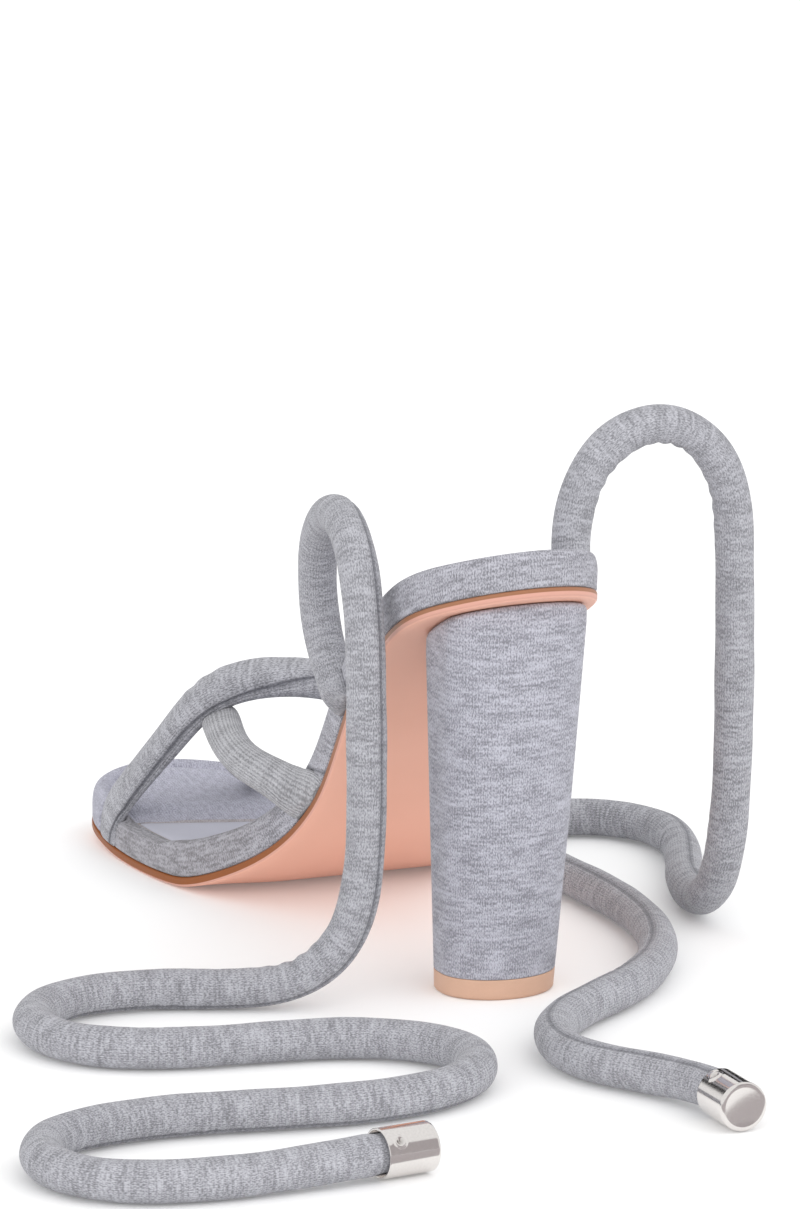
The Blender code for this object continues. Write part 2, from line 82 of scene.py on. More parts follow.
def turned_to(direction, place=(0.0, 0.0, 0.0)):
    """A matrix at a place: its z axis is the direction, its x axis is level and square to
    it, and its y axis is square to both."""
    axis_z = unit(direction)
    axis_x = unit(np.cross([0.0, 0.0, 1.0], axis_z))
    matrix = np.eye(4)
    matrix[:3, :3] = np.stack([axis_x, np.cross(axis_z, axis_x), axis_z], axis=1)
    matrix[:3, 3] = place
    return Matrix(matrix.tolist())


back = np.array([np.sin(TURN) * np.cos(RISE), -np.cos(TURN) * np.cos(RISE), np.sin(RISE)])
right = np.array([np.cos(TURN), np.sin(TURN), 0.0])
up = np.cross(back, right)
eye = LOOK_AT + back * DISTANCE
aim = LOOK_AT + right * AIM_RIGHT + up * AIM_UP

lens = bpy.data.cameras.new("long_lens")
lens.lens, lens.sensor_width, lens.sensor_fit = FOCAL_LENGTH, SENSOR_WIDTH, "AUTO"
lens.clip_start, lens.clip_end = 0.1, 100.0
camera = bpy.data.objects.new("camera", lens)
camera.matrix_world = turned_to(eye - aim, metres(eye))
bpy.context.scene.collection.objects.link(camera)
bpy.context.scene.camera = camera
print("camera at", metres(eye).round(3), "looking at", metres(aim).round(3))

# %% [markdown]
# ## Smooth lines through a few rows
# A pattern is a short table: each row is a place and a size. A spline through the rows
# gives as many sections as a surface needs. This is the natural cubic spline that a
# draughtsman gets by bending a thin batten round pins.

# %% Read a table along a smooth line
FINE_COUNT = 2000


def run_length(points):
    """The distance walked along a row of points, from zero at the first."""
    steps = np.linalg.norm(np.diff(points, axis=0), axis=-1)
    return np.concatenate([[0.0], np.cumsum(steps)])


def smooth_rows(rows, count):
    """Rows spaced evenly along the natural cubic curve through the rows of a table. Their
    first columns are a place, and the bend at each row solves one set of equations."""
    rows = np.asarray(rows, float)
    steps = np.linalg.norm(np.diff(rows[:, :3], axis=0), axis=1)
    place = np.concatenate([[0.0], np.cumsum(steps)])
    size = len(rows)
    before, after = steps[:-1, None], steps[1:, None]
    inner = np.arange(1, size - 1)
    system = np.eye(size)
    system[inner, inner - 1] = before[:, 0]
    system[inner, inner] = 2 * (before + after)[:, 0]
    system[inner, inner + 1] = after[:, 0]
    target = np.zeros_like(rows)
    target[1:-1] = 6 * ((rows[2:] - rows[1:-1]) / after - (rows[1:-1] - rows[:-2]) / before)
    bend = np.linalg.solve(system, target)

    def read(at):
        """The curve at a distance: a straight mix of two rows plus a cubic for their bends."""
        k = np.clip(np.searchsorted(place, at, side="right") - 1, 0, size - 2)
        width = (place[k + 1] - place[k])[:, None]
        a = (place[k + 1] - at)[:, None] / width
        b = 1 - a
        curve = (a**3 - a) * bend[k] + (b**3 - b) * bend[k + 1]
        return a * rows[k] + b * rows[k + 1] + curve * width**2 / 6

    fine_at = np.linspace(0, place[-1], FINE_COUNT)
    along = run_length(read(fine_at)[:, :3])
    return read(np.interp(np.linspace(0, along[-1], count), along, fine_at))


print("a spline through three rows has", len(smooth_rows(np.eye(3), 9)), "sections when asked")

# %% [markdown]
# ## Soft steps and soft lines
# Cloth has no hard edges: a crease fades, a seam sinks and padding swells. Two small
# curves do all of that here, an S from nought to one and a bell that is one on a line.

# %% An S and a bell
def ease(value):
    """Nought below nought, one above one, and a smooth S between."""
    value = np.clip(value, 0, 1)
    return value * value * (3 - 2 * value)


def soft_mark(distance, width):
    """One on a line and nothing away from it, by the bell curve of distance over width."""
    return np.exp(-((distance / width) ** 2))


print("one width from its line the bell is", soft_mark(1.0, 1.0).round(2))

# %% [markdown]
# ## Grids become one closed mesh
# Every surface here is a grid of points: rows one way, columns the other. A tube or a
# cap could be separate objects, but one skin shades without a break, so the grids of a
# piece are joined and their shared edges merged. Each corner keeps its own place on the
# flat cloth, in millimetres, so that a knit can run along a strap and turn at a seam.
# Each corner also keeps three marks: sewn, trimmed and calm. The sewn mark darkens seams and
# also paints shade in notches, in the sunk strips beside seams, along the ball and in the
# caps' crimps. The trimmed mark also paints a warm tint into that shade along the ball. The
# calm mark gives a calmer knit in a lighter grey, which is painted light. They are nought on
# plain cloth and one at their fullest, and a calm below nought stands for a livelier knit.

# %% Put grids into a mesh
PLAIN = (0.0, 0.0, 0.0)
MERGE_WITHIN, NO_LENGTH = 4e-7, 1e-7


def corners_of(rows, columns):
    """The four corners of each cell of a grid, as numbers counted row by row."""
    cell = np.arange((rows - 1) * columns).reshape(rows - 1, columns)[:, :-1].ravel()
    return np.stack([cell, cell + 1, cell + columns + 1, cell + columns], axis=1)


def laid(across_ribs, along_ribs):
    """Places on the flat cloth: across its ribs and along them, side by side."""
    return np.stack(np.broadcast_arrays(across_ribs, along_ribs), axis=-1)


def sewn(seam, trim_and_tint=0.0, calm=0.0):
    """The three marks of a grid side by side."""
    return np.stack(np.broadcast_arrays(seam, trim_and_tint, calm), axis=-1)


def close_up(mesh):
    """Merges shared edges, turns the faces outwards and counts the edges left open."""
    shape = bmesh.new()
    shape.from_mesh(mesh)
    bmesh.ops.remove_doubles(shape, verts=shape.verts, dist=MERGE_WITHIN)
    bmesh.ops.dissolve_degenerate(shape, edges=shape.edges, dist=NO_LENGTH)
    bmesh.ops.recalc_face_normals(shape, faces=shape.faces)
    if shape.calc_volume(signed=True) < 0:
        bmesh.ops.reverse_faces(shape, faces=shape.faces)
    open_edges = sum(not edge.is_manifold for edge in shape.edges)
    shape.to_mesh(mesh)
    shape.free()
    return open_edges


def skin(name, patches, node):
    """Joins patches, each (points, cloth, marks), into one closed piece that rides on the
    frame and stands for a CAD node."""
    points, cloth, marks, faces, offset = [], [], [], [], 0
    for place, flat, mark in patches:
        rows, columns = place.shape[:2]
        points.append(place.reshape(-1, 3))
        cloth.append(flat.reshape(-1, 2))
        marks.append(np.broadcast_to(mark, (rows, columns, 3)).reshape(-1, 3))
        faces.append(corners_of(rows, columns) + offset)
        offset += rows * columns
    faces = np.concatenate(faces)
    corners = faces.ravel()
    mesh = bpy.data.meshes.new(name)
    mesh.from_pydata(metres(np.concatenate(points)).tolist(), [], faces.tolist())
    layer = mesh.uv_layers.new(name="cloth")
    layer.data.foreach_set("uv", np.concatenate(cloth)[corners].ravel())
    layer = mesh.attributes.new("marks", "FLOAT_VECTOR", "CORNER")
    layer.data.foreach_set("vector", np.concatenate(marks)[corners].astype(np.float32).ravel())
    open_edges = close_up(mesh)
    mesh.polygons.foreach_set("use_smooth", np.ones(len(mesh.polygons), bool))
    piece = bpy.data.objects.new(name, mesh)
    bpy.context.scene.collection.objects.link(piece)
    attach(piece, "root")
    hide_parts(node)
    print(name, len(mesh.polygons), "faces,", open_edges, "open edges")
    return piece


# %% [markdown]
# ## The sole's side view and plan
# All the layers of the sole share one side view, high at the heel and flat under the
# ball, and one plan. Heights are measured square to the underside, so every layer bends
# with the sole, and at the ball the inner edge curls up a little. Stations along the sole
# are slanted at the front, so that the edge of the sock, which runs across the foot at a
# slant, falls on one station.

# %% Side view of the underside
BACK_HEIGHT, SEAT_SLOPE, SEAT_CORNER_Y, BALL_CORNER_Y = 104.8, 21.7, 44.0, 134.5
SEAT_ROUND, SHANK_ROUND, FLAT_START_Y, FLAT_END_Y = 34.6, 31.7, 155.0, 174.0
SOLE_LENGTH, TOE_SPRING, PAST_TOE = 225.4, 5.7, 4.0


def corner_curve(start, corner, end, count=24):
    """The curve that leaves start towards corner and arrives at end from it."""
    t = np.linspace(0, 1, count)[:, None]
    return (1 - t) ** 2 * start + 2 * t * (1 - t) * corner + t**2 * end


def underside_points():
    """Seat, shank, ball and toe as one row of points (y, z), back to toe."""
    rear = np.array([0.0, BACK_HEIGHT])
    fall = np.tan(np.radians(SEAT_SLOPE)) * SEAT_CORNER_Y
    seat = np.array([SEAT_CORNER_Y, BACK_HEIGHT - fall])
    ball = np.array([BALL_CORNER_Y, 0.0])
    along_seat, along_shank = unit(seat - rear), unit(ball - seat)
    first = corner_curve(seat - along_seat * SEAT_ROUND, seat, seat + along_shank * SEAT_ROUND)
    flat_start = np.array([FLAT_START_Y, 0.0])
    second = corner_curve(ball - along_shank * SHANK_ROUND, ball, flat_start)
    toe_y = np.linspace(FLAT_END_Y, SOLE_LENGTH + PAST_TOE, 16)
    toe_z = TOE_SPRING * ((toe_y - FLAT_END_Y) / (SOLE_LENGTH - FLAT_END_Y)) ** 2
    return np.concatenate([[rear], first, second, np.stack([toe_y, toe_z], axis=1)])


UNDERSIDE = underside_points()
print("underside has", len(UNDERSIDE), "points")

# %% Heights over the underside
LEAN_FROM_Y, LEAN_OVER, SLOPE_REACH = 4.0, 36.0, 1.5
CURL_HEIGHT, CURL_Y, CURL_LONG, CURL_FROM_X, CURL_WIDE = 1.2, 138.0, 17.0, 8.0, 22.0


def underside(y):
    """Height of the underside over the floor at y."""
    return np.interp(y, UNDERSIDE[:, 0], UNDERSIDE[:, 1])


def lean(y):
    """How far the layers lean to the toe: square to the shank, upright at the back."""
    fall = underside(y - SLOPE_REACH) - underside(y + SLOPE_REACH)
    return np.arctan2(fall, 2 * SLOPE_REACH) * ease((y - LEAN_FROM_Y) / LEAN_OVER)


def edge_curl(plan):
    """How far the inner edge curls up off the floor at the ball: a bell along the foot
    times an S across it."""
    bell = soft_mark(plan[..., 1] - CURL_Y, CURL_LONG)
    return CURL_HEIGHT * bell * ease((-plan[..., 0] - CURL_FROM_X) / CURL_WIDE)


def lift(plan, height):
    """The point at this height over the underside, above a plan point."""
    x, y = plan[..., 0], plan[..., 1]
    angle = lean(y)
    z = underside(y) + height * np.cos(angle) + edge_curl(plan)
    return np.stack([x, y + height * np.sin(angle), z], axis=-1)


print("underside falls from", underside(0.0), "to", underside(165.0).round(2), "mm")

# %% Plan of the sole
# Columns: y, x of the inner edge, x of the outer edge.
OUTLINE = np.array((
    (3.3, -12.6, 11.8), (12.0, -21.4, 20.3), (24.0, -25.1, 23.4), (40.0, -24.4, 22.8),
    (56.0, -23.2, 23.3), (72.0, -21.0, 25.2), (88.0, -18.4, 27.8), (104.0, -17.4, 30.5),
    (112.0, -19.1, 31.9), (120.0, -22.4, 33.4), (128.0, -26.3, 35.2), (136.0, -30.0, 37.1),
    (144.0, -33.0, 38.7), (152.0, -35.2, 39.8), (160.0, -36.7, 40.1), (176.0, -38.3, 37.6),
    (184.0, -38.7, 34.4), (192.0, -38.8, 29.9), (200.0, -38.4, 24.3), (208.0, -37.4, 17.6),
    (216.0, -34.2, 8.8), (222.3, -26.8, -2.0),
))
HEEL_END, TOE_END = np.array([-0.4, 0.0]), np.array([-14.6, SOLE_LENGTH])
SOCK_FRONT_Y, SOCK_FRONT_SKEW, SKEW_FROM_Y = 174.0, 0.26, 110.0
HEEL_BOW_Y, TOE_BOW_Y, BOW_COUNT = 24.0, 198.0, 36


def outline_line():
    """The closed outline as a fine smooth row of points (x, y)."""
    inner = np.concatenate([[HEEL_END], OUTLINE[:, [1, 0]], [TOE_END]])
    outer = np.concatenate([[HEEL_END], OUTLINE[:, [2, 0]], [TOE_END]])
    ring = np.concatenate([outer, inner[-2:0:-1]])
    return smooth_rows(np.concatenate([ring[-6:], ring, ring[:7]]), 6000)


def plan_sides():
    """Both edges of the sole station by station; a station's y slants by x times the
    skew of the sock's front edge, fully at that edge and less away from it."""
    bow = np.radians(np.linspace(0, 90, BOW_COUNT))
    station = np.concatenate([
        HEEL_BOW_Y * (1 - np.cos(bow)), np.linspace(HEEL_BOW_Y, FLAT_START_Y, 132)[1:],
        np.linspace(FLAT_START_Y, SOCK_FRONT_Y, 20)[1:],
        np.linspace(SOCK_FRONT_Y, TOE_BOW_Y, 25)[1:-1],
        TOE_BOW_Y + (SOLE_LENGTH - TOE_BOW_Y) * np.cos(bow[::-1]),
    ])
    slant = SOCK_FRONT_SKEW * np.minimum(
        ease((station - SKEW_FROM_Y) / (SOCK_FRONT_Y - SKEW_FROM_Y)),
        ease((SOLE_LENGTH - station) / (SOLE_LENGTH - SOCK_FRONT_Y)))
    line = outline_line()
    centre = np.interp(line[:, 1], [0, SOLE_LENGTH], [HEEL_END[0], TOE_END[0]])
    sides = []
    for side in (-1, 1):
        edge = line[(line[:, 0] - centre) * side >= 0]
        edge = edge[np.argsort(edge[:, 1])]
        y = station.copy()
        for _ in range(12):
            x = np.interp(y, edge[:, 1], edge[:, 0])
            y = 0.5 * y + 0.5 * (station - slant * x)
        x = np.interp(y, edge[:, 1], edge[:, 0])
        sides.append(np.stack([x, y], axis=1))
        sides[-1][0], sides[-1][-1] = HEEL_END, TOE_END
    return station, sides[0], sides[1]


STATION, INNER, OUTER = plan_sides()
SOCK_STATION = int(np.argmin(np.abs(STATION - SOCK_FRONT_Y)))
PLAN = np.concatenate([OUTER, INNER[-2:0:-1]])
PLAN_OUT = np.roll(PLAN, -1, axis=0) - np.roll(PLAN, 1, axis=0)
PLAN_OUT = unit(np.stack([PLAN_OUT[:, 1], -PLAN_OUT[:, 0]], axis=1))
print(len(STATION), "stations, sole", np.ptp(PLAN[:, 0]).round(1), "mm wide")


# %% Rings and sheets on the plan
def ring_at(inset):
    """The plan drawn in by inset along its own normals."""
    return PLAN - PLAN_OUT * inset


def both_sides(inset):
    """The outer and the inner edge of the plan drawn in by inset, station by station."""
    ring, count = ring_at(inset), len(STATION)
    partner = (-np.arange(count)) % len(ring)
    return ring[:count], ring[partner]


def across(inset, height, count):
    """A sheet from the outer to the inner edge at one height: station by share across."""
    outer, inner = both_sides(inset)
    share = np.linspace(0, 1, count)[None, :, None]
    return lift(outer[:, None] * (1 - share) + inner[:, None] * share, height)


print("a sheet across the sole is", across(0.0, 0.0, 16).shape[:2], "points")

# %% [markdown]
# ## Ends that go under the sole
# Straps and ties end at the feather line, the line where the upper turns in between the
# footbed and the outsole. A plain cut would show a blunt end, so each end is drawn in:
# the lower a point lies, the less it may stand proud of the edge of the sole.

# %% Draw an end in to the feather line
FEATHER_HEIGHT, BELOW_FEATHER = 2.85, 0.05
LEAST_PROUD, PROUD_REACH, PROUD_FADE = 0.4, 6.4, 4.5
END_HEIGHT, END_PROUD = 14.0, 9.0


def sole_place(points):
    """Plan point and height over the underside: lift undone by halving the error."""
    y = points[..., 1].copy()
    for _ in range(16):
        height = (points[..., 2] - underside(y)) / np.cos(lean(y))
        y = 0.5 * y + 0.5 * (points[..., 1] - height * np.sin(lean(y)))
    height = (points[..., 2] - underside(y)) / np.cos(lean(y))
    return np.stack([points[..., 0], y], axis=-1), height


def tuck(points):
    """Keeps points over the feather line, and less proud of the plan the lower they are:
    a little, plus a reach times one less a fading power of the height."""
    plan, height = sole_place(points)
    near = np.linalg.norm(plan[..., None, :] - PLAN, axis=-1).argmin(axis=-1)
    proud = np.sum((plan - PLAN[near]) * PLAN_OUT[near], axis=-1)
    kept = np.maximum(height, FEATHER_HEIGHT + BELOW_FEATHER * (height - FEATHER_HEIGHT))
    fade = np.exp(np.minimum(FEATHER_HEIGHT - kept, 0) / PROUD_FADE)
    most = LEAST_PROUD + PROUD_REACH * (1 - fade)
    drawn = plan - PLAN_OUT[near] * np.clip(proud - most, 0, None)[..., None]
    low = (height < END_HEIGHT) & (proud < END_PROUD)
    return np.where(low[..., None], lift(drawn, kept), points)


print("a point under the toes comes up to", tuck(np.array([[-10.0, 190.0, 0.0]]))[0].round(2))

# %% [markdown]
# ## The ties
# Two padded cords are sewn to the edge of the footbed, one at the arch and one at the
# heel. On a foot they wind up the leg. Off it they lie down: each rises from its seam,
# bends over under its own weight, drops to the floor and wanders there. A curve with a
# bevel would do for the shape, but a grid keeps the knit's direction, so each tie is
# a circle carried along its route. The circle's frame is turned as little as possible
# from section to section, which keeps the ribs of the knit from winding round the cord.

# %% Routes of the ties
# Columns: x, y, z.
TIE_DIAMETER = 10.0
ARCH_TIE = (
    (-21.4, 71.9, 64.5), (-21.4, 77.6, 70.5), (-21.6, 83.2, 76.8), (-22.2, 86.9, 88.0),
    (-23.6, 83.4, 102.0), (-26.0, 71.0, 113.0), (-29.0, 54.0, 115.5), (-31.8, 38.0, 108.0),
    (-33.8, 28.6, 92.5), (-34.8, 25.2, 73.0), (-35.2, 24.2, 52.0), (-36.2, 24.6, 33.0),
    (-40.6, 26.4, 17.6), (-50.0, 30.4, 8.4), (-64.0, 36.4, 5.4), (-84.0, 44.0, 5.3),
    (-106.0, 43.0, 5.3), (-121.0, 26.0, 5.3), (-117.0, 4.0, 5.3), (-97.0, -8.0, 5.3),
    (-72.0, -12.0, 5.3), (-48.0, -20.0, 5.3), (-36.0, -38.0, 5.3), (-43.0, -58.0, 5.3),
    (-64.0, -68.0, 5.3), (-90.0, -67.0, 5.3), (-114.0, -63.0, 5.3), (-135.0, -63.0, 5.3),
    (-152.5, -71.0, 5.3), (-159.5, -88.0, 5.3), (-152.0, -105.0, 5.3),
    (-134.0, -113.0, 5.3), (-110.0, -114.0, 5.6), (-93.0, -113.0, 6.2), (-78.0, -111.0, 6.2),
)
HEEL_TIE = (
    (23.4, 32.2, 93.9), (24.0, 35.6, 101.2), (25.0, 38.6, 109.0), (28.4, 40.6, 121.0),
    (36.6, 41.6, 131.6), (49.2, 42.4, 135.8), (61.8, 43.2, 131.0), (69.4, 43.8, 119.6),
    (71.8, 44.2, 103.0), (72.2, 44.4, 86.0), (72.4, 44.8, 66.0), (72.6, 46.0, 46.0),
    (73.0, 49.4, 29.0), (73.8, 57.6, 14.0), (75.6, 71.0, 6.6), (79.0, 86.0, 5.4),
    (87.0, 106.0, 5.3), (95.0, 127.0, 5.3), (96.6, 146.0, 5.3), (88.0, 161.0, 5.3),
    (73.0, 165.6, 5.3), (59.0, 158.0, 5.3), (52.8, 142.0, 5.3), (54.0, 120.0, 5.3),
    (56.0, 96.0, 5.3), (56.0, 72.0, 5.3), (52.0, 48.0, 5.3), (42.0, 24.0, 5.3),
    (26.0, 4.0, 5.3), (6.0, -12.0, 5.3), (-9.0, -30.0, 5.3), (-12.0, -53.0, 5.3),
    (-2.0, -74.0, 5.6), (4.0, -92.0, 6.2), (4.0, -107.0, 6.2),
)
for label, route in (("arch", ARCH_TIE), ("heel", HEEL_TIE)):
    print(label, "tie is", run_length(smooth_rows(route, 800))[-1].round(1), "mm long")


# %% Circles carried along a path
def carried_frame(path, first_side):
    """Directions ahead, to the side and across at each point of a path: the side of one
    point is the side of the last with the part along the new direction taken away."""
    ahead = unit(np.gradient(path, axis=0))
    side = np.zeros_like(path)
    held = np.asarray(first_side, float)
    for k, forward in enumerate(ahead):
        held = held - forward * (held @ forward)
        held = held / np.linalg.norm(held)
        side[k] = held
    return ahead, side, np.cross(ahead, side)


def circle(side, other, turn):
    """The side times the cosine of each turn plus the other side times its sine."""
    return side * np.cos(turn)[..., None] + other * np.sin(turn)[..., None]


def turned_from(turn, angle):
    """The signed angle between two turns, from minus half a circle to half a circle."""
    return (turn - angle + np.pi) % (2 * np.pi) - np.pi


def closed_ends(rings):
    """Adds the middle of the first and of the last ring as rings of no size."""
    first = np.broadcast_to(rings[:1].mean(axis=1, keepdims=True), rings[:1].shape)
    last = np.broadcast_to(rings[-1:].mean(axis=1, keepdims=True), rings[-1:].shape)
    return np.concatenate([first, rings, last])


def with_ends(grid):
    """Repeats the first and the last row, as closed_ends does for points."""
    return np.concatenate([grid[:1], grid, grid[-1:]])


def tube(points, cloth, marks):
    """A grid of rings as one patch with both its ends closed."""
    return closed_ends(points), with_ends(cloth), with_ends(marks)


print("a circle of 8 starts at", circle(right, up, np.linspace(0, 2 * np.pi, 9))[0].round(2))

# %% A padded cord
TIE_SECTIONS, TIE_SIDES, RIB = 880, 40, 0.76
SEAM_WIDTH, TIE_SEAM_DEPTH, SEAM_FADE = 0.5, 0.4, 1.5
CREASE_PITCH, CREASE_REACH, CREASE_TURN = 5.1, 9.0, 1.0
CAP_SQUEEZE, CAP_GRIP, CAP_FADE = 0.45, 14.0, 3.0
TIE_SLACK, TUCKED_LENGTH, CLOTH_APART = 0.1, 20.0, 400
WAVER, WAVER_LENGTH, RIPPLE, RIPPLE_LENGTH = 0.07, 7.3, 0.05, 3.1


def tie_skin(name, node, route, seams, creases, shift):
    """A circle of the tie's radius carried along the route. Seams are (angle, reach)
    grooves. Creases are (distance along, depth): small waves on the inside of a bend."""
    path = smooth_rows(route, TIE_SECTIONS)
    ahead, side, other = carried_frame(path, right)
    turn = np.linspace(0, 2 * np.pi, TIE_SIDES + 1)[None, :]
    along = run_length(path)[:, None]
    bend = np.gradient(ahead, axis=0)
    inside = np.arctan2(np.sum(bend * other, axis=1), np.sum(bend * side, axis=1))[:, None]
    seam = np.zeros((TIE_SECTIONS, TIE_SIDES + 1))
    for angle, reach in seams:
        apart = turned_from(turn, np.radians(angle)) * TIE_DIAMETER / 2
        fade = 1 / (1 + np.exp((along - reach) / SEAM_FADE))
        seam = np.maximum(seam, soft_mark(apart, SEAM_WIDTH) * fade)
    sink = TIE_SEAM_DEPTH * seam
    for place, depth in creases:
        waves = 0.5 + 0.5 * np.cos((along - place) * (2 * np.pi / CREASE_PITCH))
        near = soft_mark(along - place, CREASE_REACH)
        sink = sink + depth * waves * near * soft_mark(turned_from(turn, inside), CREASE_TURN)
    sink = sink + CAP_SQUEEZE * ease((along - along[-1] + CAP_GRIP) / CAP_FADE)
    waver = WAVER * np.sin(along / WAVER_LENGTH + shift)
    waver = waver + RIPPLE * np.sin(along / RIPPLE_LENGTH + 2 * turn)
    radius = (TIE_DIAMETER / 2 - TIE_SLACK + waver - sink)[..., None]
    rings = path[:, None] + radius * circle(side[:, None], other[:, None], turn)
    start = int(np.searchsorted(along[:, 0], TUCKED_LENGTH))
    rings[:start] = tuck(rings[:start])
    ribs = round(np.pi * TIE_DIAMETER / RIB)
    cloth = laid(turn / (2 * np.pi) * ribs * RIB + CLOTH_APART * shift, along)
    return skin(name, [tube(rings, cloth, sewn(seam))], node), path


print("a tie has", round(np.pi * TIE_DIAMETER / RIB), "ribs round it")

# %% Metal caps on the ends of the ties
FERRULE_RADIUS, FERRULE_BORE, FERRULE_LENGTH, FERRULE_END = 5.9, 5.45, 13.5, 2.2
FERRULE_GAP, FERRULE_COLUMNS, FERRULE_STEP, INNER_ROWS = 0.3, 181, 0.2, 6
CRIMP_FROM_MOUTH, CRIMP_DEPTH, CRIMP_WIDTH, CRIMP_RIM, CRIMP_RIM_WIDTH = 3.2, 0.3, 0.7, 1.2, 0.5


def ferrule_profile(mouth, tip):
    """Rows of (distance along the tie, radius): bore, mouth, wall and dished end. The
    wall has many rows, so that the crimp's dent has points to sink."""
    bore, wall, floor = FERRULE_BORE, FERRULE_RADIUS, FERRULE_GAP
    return np.array([
        (floor, 0.0), (floor, bore - 0.5), (floor - 0.5, bore), (mouth + 0.1, bore),
        (mouth, bore + 0.08), (mouth, wall - 0.1), (mouth + 0.1, wall),
        *[(mouth + 0.1 + d, wall) for d in np.arange(FERRULE_STEP, 12.5, FERRULE_STEP)],
        (tip - 0.75, wall), (tip - 0.4, wall - 0.07), (tip - 0.12, wall - 0.3),
        (tip, wall - 0.65), (tip, wall - 1.2), (tip - 0.12, wall - 1.5), (tip - 0.12, 0.0),
    ])


def ferrule_skin(name, node, route, spot_turn):
    """A cup turned on a lathe: distance along the tie and radius, carried round the axis.
    A raised rim round a small dent marks where the cup is crimped to the cloth, and the dent's
    mark is painted dark as painted shade."""
    end = np.array(route[-1], float)
    forward = unit(end - np.array(route[-2], float))
    mouth, tip = FERRULE_GAP - (FERRULE_LENGTH - FERRULE_END), FERRULE_GAP + FERRULE_END
    profile = ferrule_profile(mouth, tip)
    side = unit(np.cross(forward, [0.0, 0.0, 1.0]))
    other = np.cross(side, forward)
    turn = np.linspace(0, 2 * np.pi, FERRULE_COLUMNS)[None, :]
    round_wall = turned_from(turn, np.radians(spot_turn)) * FERRULE_RADIUS
    spot = np.hypot(round_wall, profile[:, :1] - mouth - CRIMP_FROM_MOUTH)
    pressed = soft_mark(spot, CRIMP_WIDTH)
    outer = (np.arange(len(profile)) >= INNER_ROWS)[:, None]
    dent = CRIMP_DEPTH * pressed - CRIMP_DEPTH * soft_mark(spot - CRIMP_RIM, CRIMP_RIM_WIDTH)
    radius = (profile[:, 1:2] - outer * dent)[..., None]
    rings = end + forward * profile[:, :1, None] + radius * circle(side, other, turn)
    cloth = laid(turn * FERRULE_RADIUS, run_length(profile)[:, None])
    return skin(name, [(rings, cloth, sewn(outer * pressed))], node)


print("a cap is", FERRULE_LENGTH, "mm long and", 2 * FERRULE_RADIUS, "mm wide")

# Creases: how far along, depth.
ARCH_SEAMS = ((8, 27.0), (30, 27.0), (52, 900.0), (76, 27.0))
ARCH_CREASES = (
    (44.0, 0.5), (66.0, 0.45), (90.0, 0.4), (205.0, 0.5), (236.0, 0.55), (330.0, 0.45),
    (372.0, 0.5), (505.0, 0.5), (540.0, 0.45),
)
HEEL_SEAMS = ((150, 900.0),)
HEEL_CREASES = (
    (36.0, 0.45), (62.0, 0.5), (88.0, 0.45), (178.0, 0.4), (270.0, 0.55), (300.0, 0.5),
    (500.0, 0.4), (560.0, 0.45),
)
ties = {}
for label, route, seams, creases, shift, spot in (
        ("arch_tie", ARCH_TIE, ARCH_SEAMS, ARCH_CREASES, 1, 38),
        ("heel_tie", HEEL_TIE, HEEL_SEAMS, HEEL_CREASES, 2, 62)):
    tie, path = tie_skin(label + "_cord", label, route, seams, creases, shift)
    cap = ferrule_skin(label + "_cap", label + "_ferrule", route, spot)
    ties[label] = (tie, cap)

# %% [markdown]
# ## The outsole
# The outsole is a thin sheet of smooth peach synthetic with a tan painted edge that shows
# as a line under the jersey. A solidified sheet would have hard edges, so a small profile
# with a softened edge is carried round the plan and closed by two caps.

# %% A profile carried round the plan
SLANT_REACH = 18.0


def walls(profile, wrap_from=0, slants=None):
    """A profile of (inset, height) rows carried round the plan: profile row by plan point.
    A row's slant slides its points along the plan, most at the start of the wrap. The
    cloth runs round the plan one way and up the profile the other way."""
    order = np.append(np.roll(np.arange(len(PLAN)), -wrap_from), wrap_from)
    walked = run_length(PLAN[order])
    share = soft_mark(np.minimum(walked, walked[-1] - walked), SLANT_REACH)
    rings = []
    for row, (inset, height) in enumerate(profile):
        ring = ring_at(inset)[order]
        if slants is not None:
            at = walked + slants[row] * share
            ring = np.stack([np.interp(at, walked[:-1], line[:-1], period=walked[-1])
                             for line in ring.T], axis=1)
        rings.append(lift(ring, height))
    return np.stack(rings), laid(walked[None, :], run_length(profile)[:, None])


def flat_cloth(points):
    """Cloth laid flat: x across and y along the foot."""
    return points[..., :2].copy()


print("the plan is", run_length(PLAN)[-1].round(1), "mm round")

# %% Outsole
OUTSOLE_ROWS = smooth_rows(((0.7, 0.0), (0.1, 0.4), (0.0, 1.2), (0.1, 2.2), (0.5, 2.5)), 14)
wall, wall_cloth = walls(OUTSOLE_ROWS)
wall_cloth[..., 1] = OUTSOLE_ROWS[:, 1:2]
under, over = (across(*OUTSOLE_ROWS[row], 16) for row in (0, -1))
low_cloth = np.stack([under[..., 1], np.zeros(under.shape[:2])], axis=-1)
outsole = skin("outsole_sheet", [
    (wall, wall_cloth, PLAIN), (under, low_cloth, PLAIN), (over, low_cloth + [0, 2.5], PLAIN),
], "outsole")

# %% [markdown]
# ## The crossed straps
# Two padded tubes of jersey hold the forefoot. The toe strap climbs from the inner side
# of the toes, over the foot to the outer side of the ball. The ball strap climbs from the
# arch and passes under it to the outer side of the toes. Each is a rounded section, flat
# and wide where it is pressed against the sole and plump over the foot, carried along a
# table. At the feather line, where the upper goes under the sole, the tube is cut off.

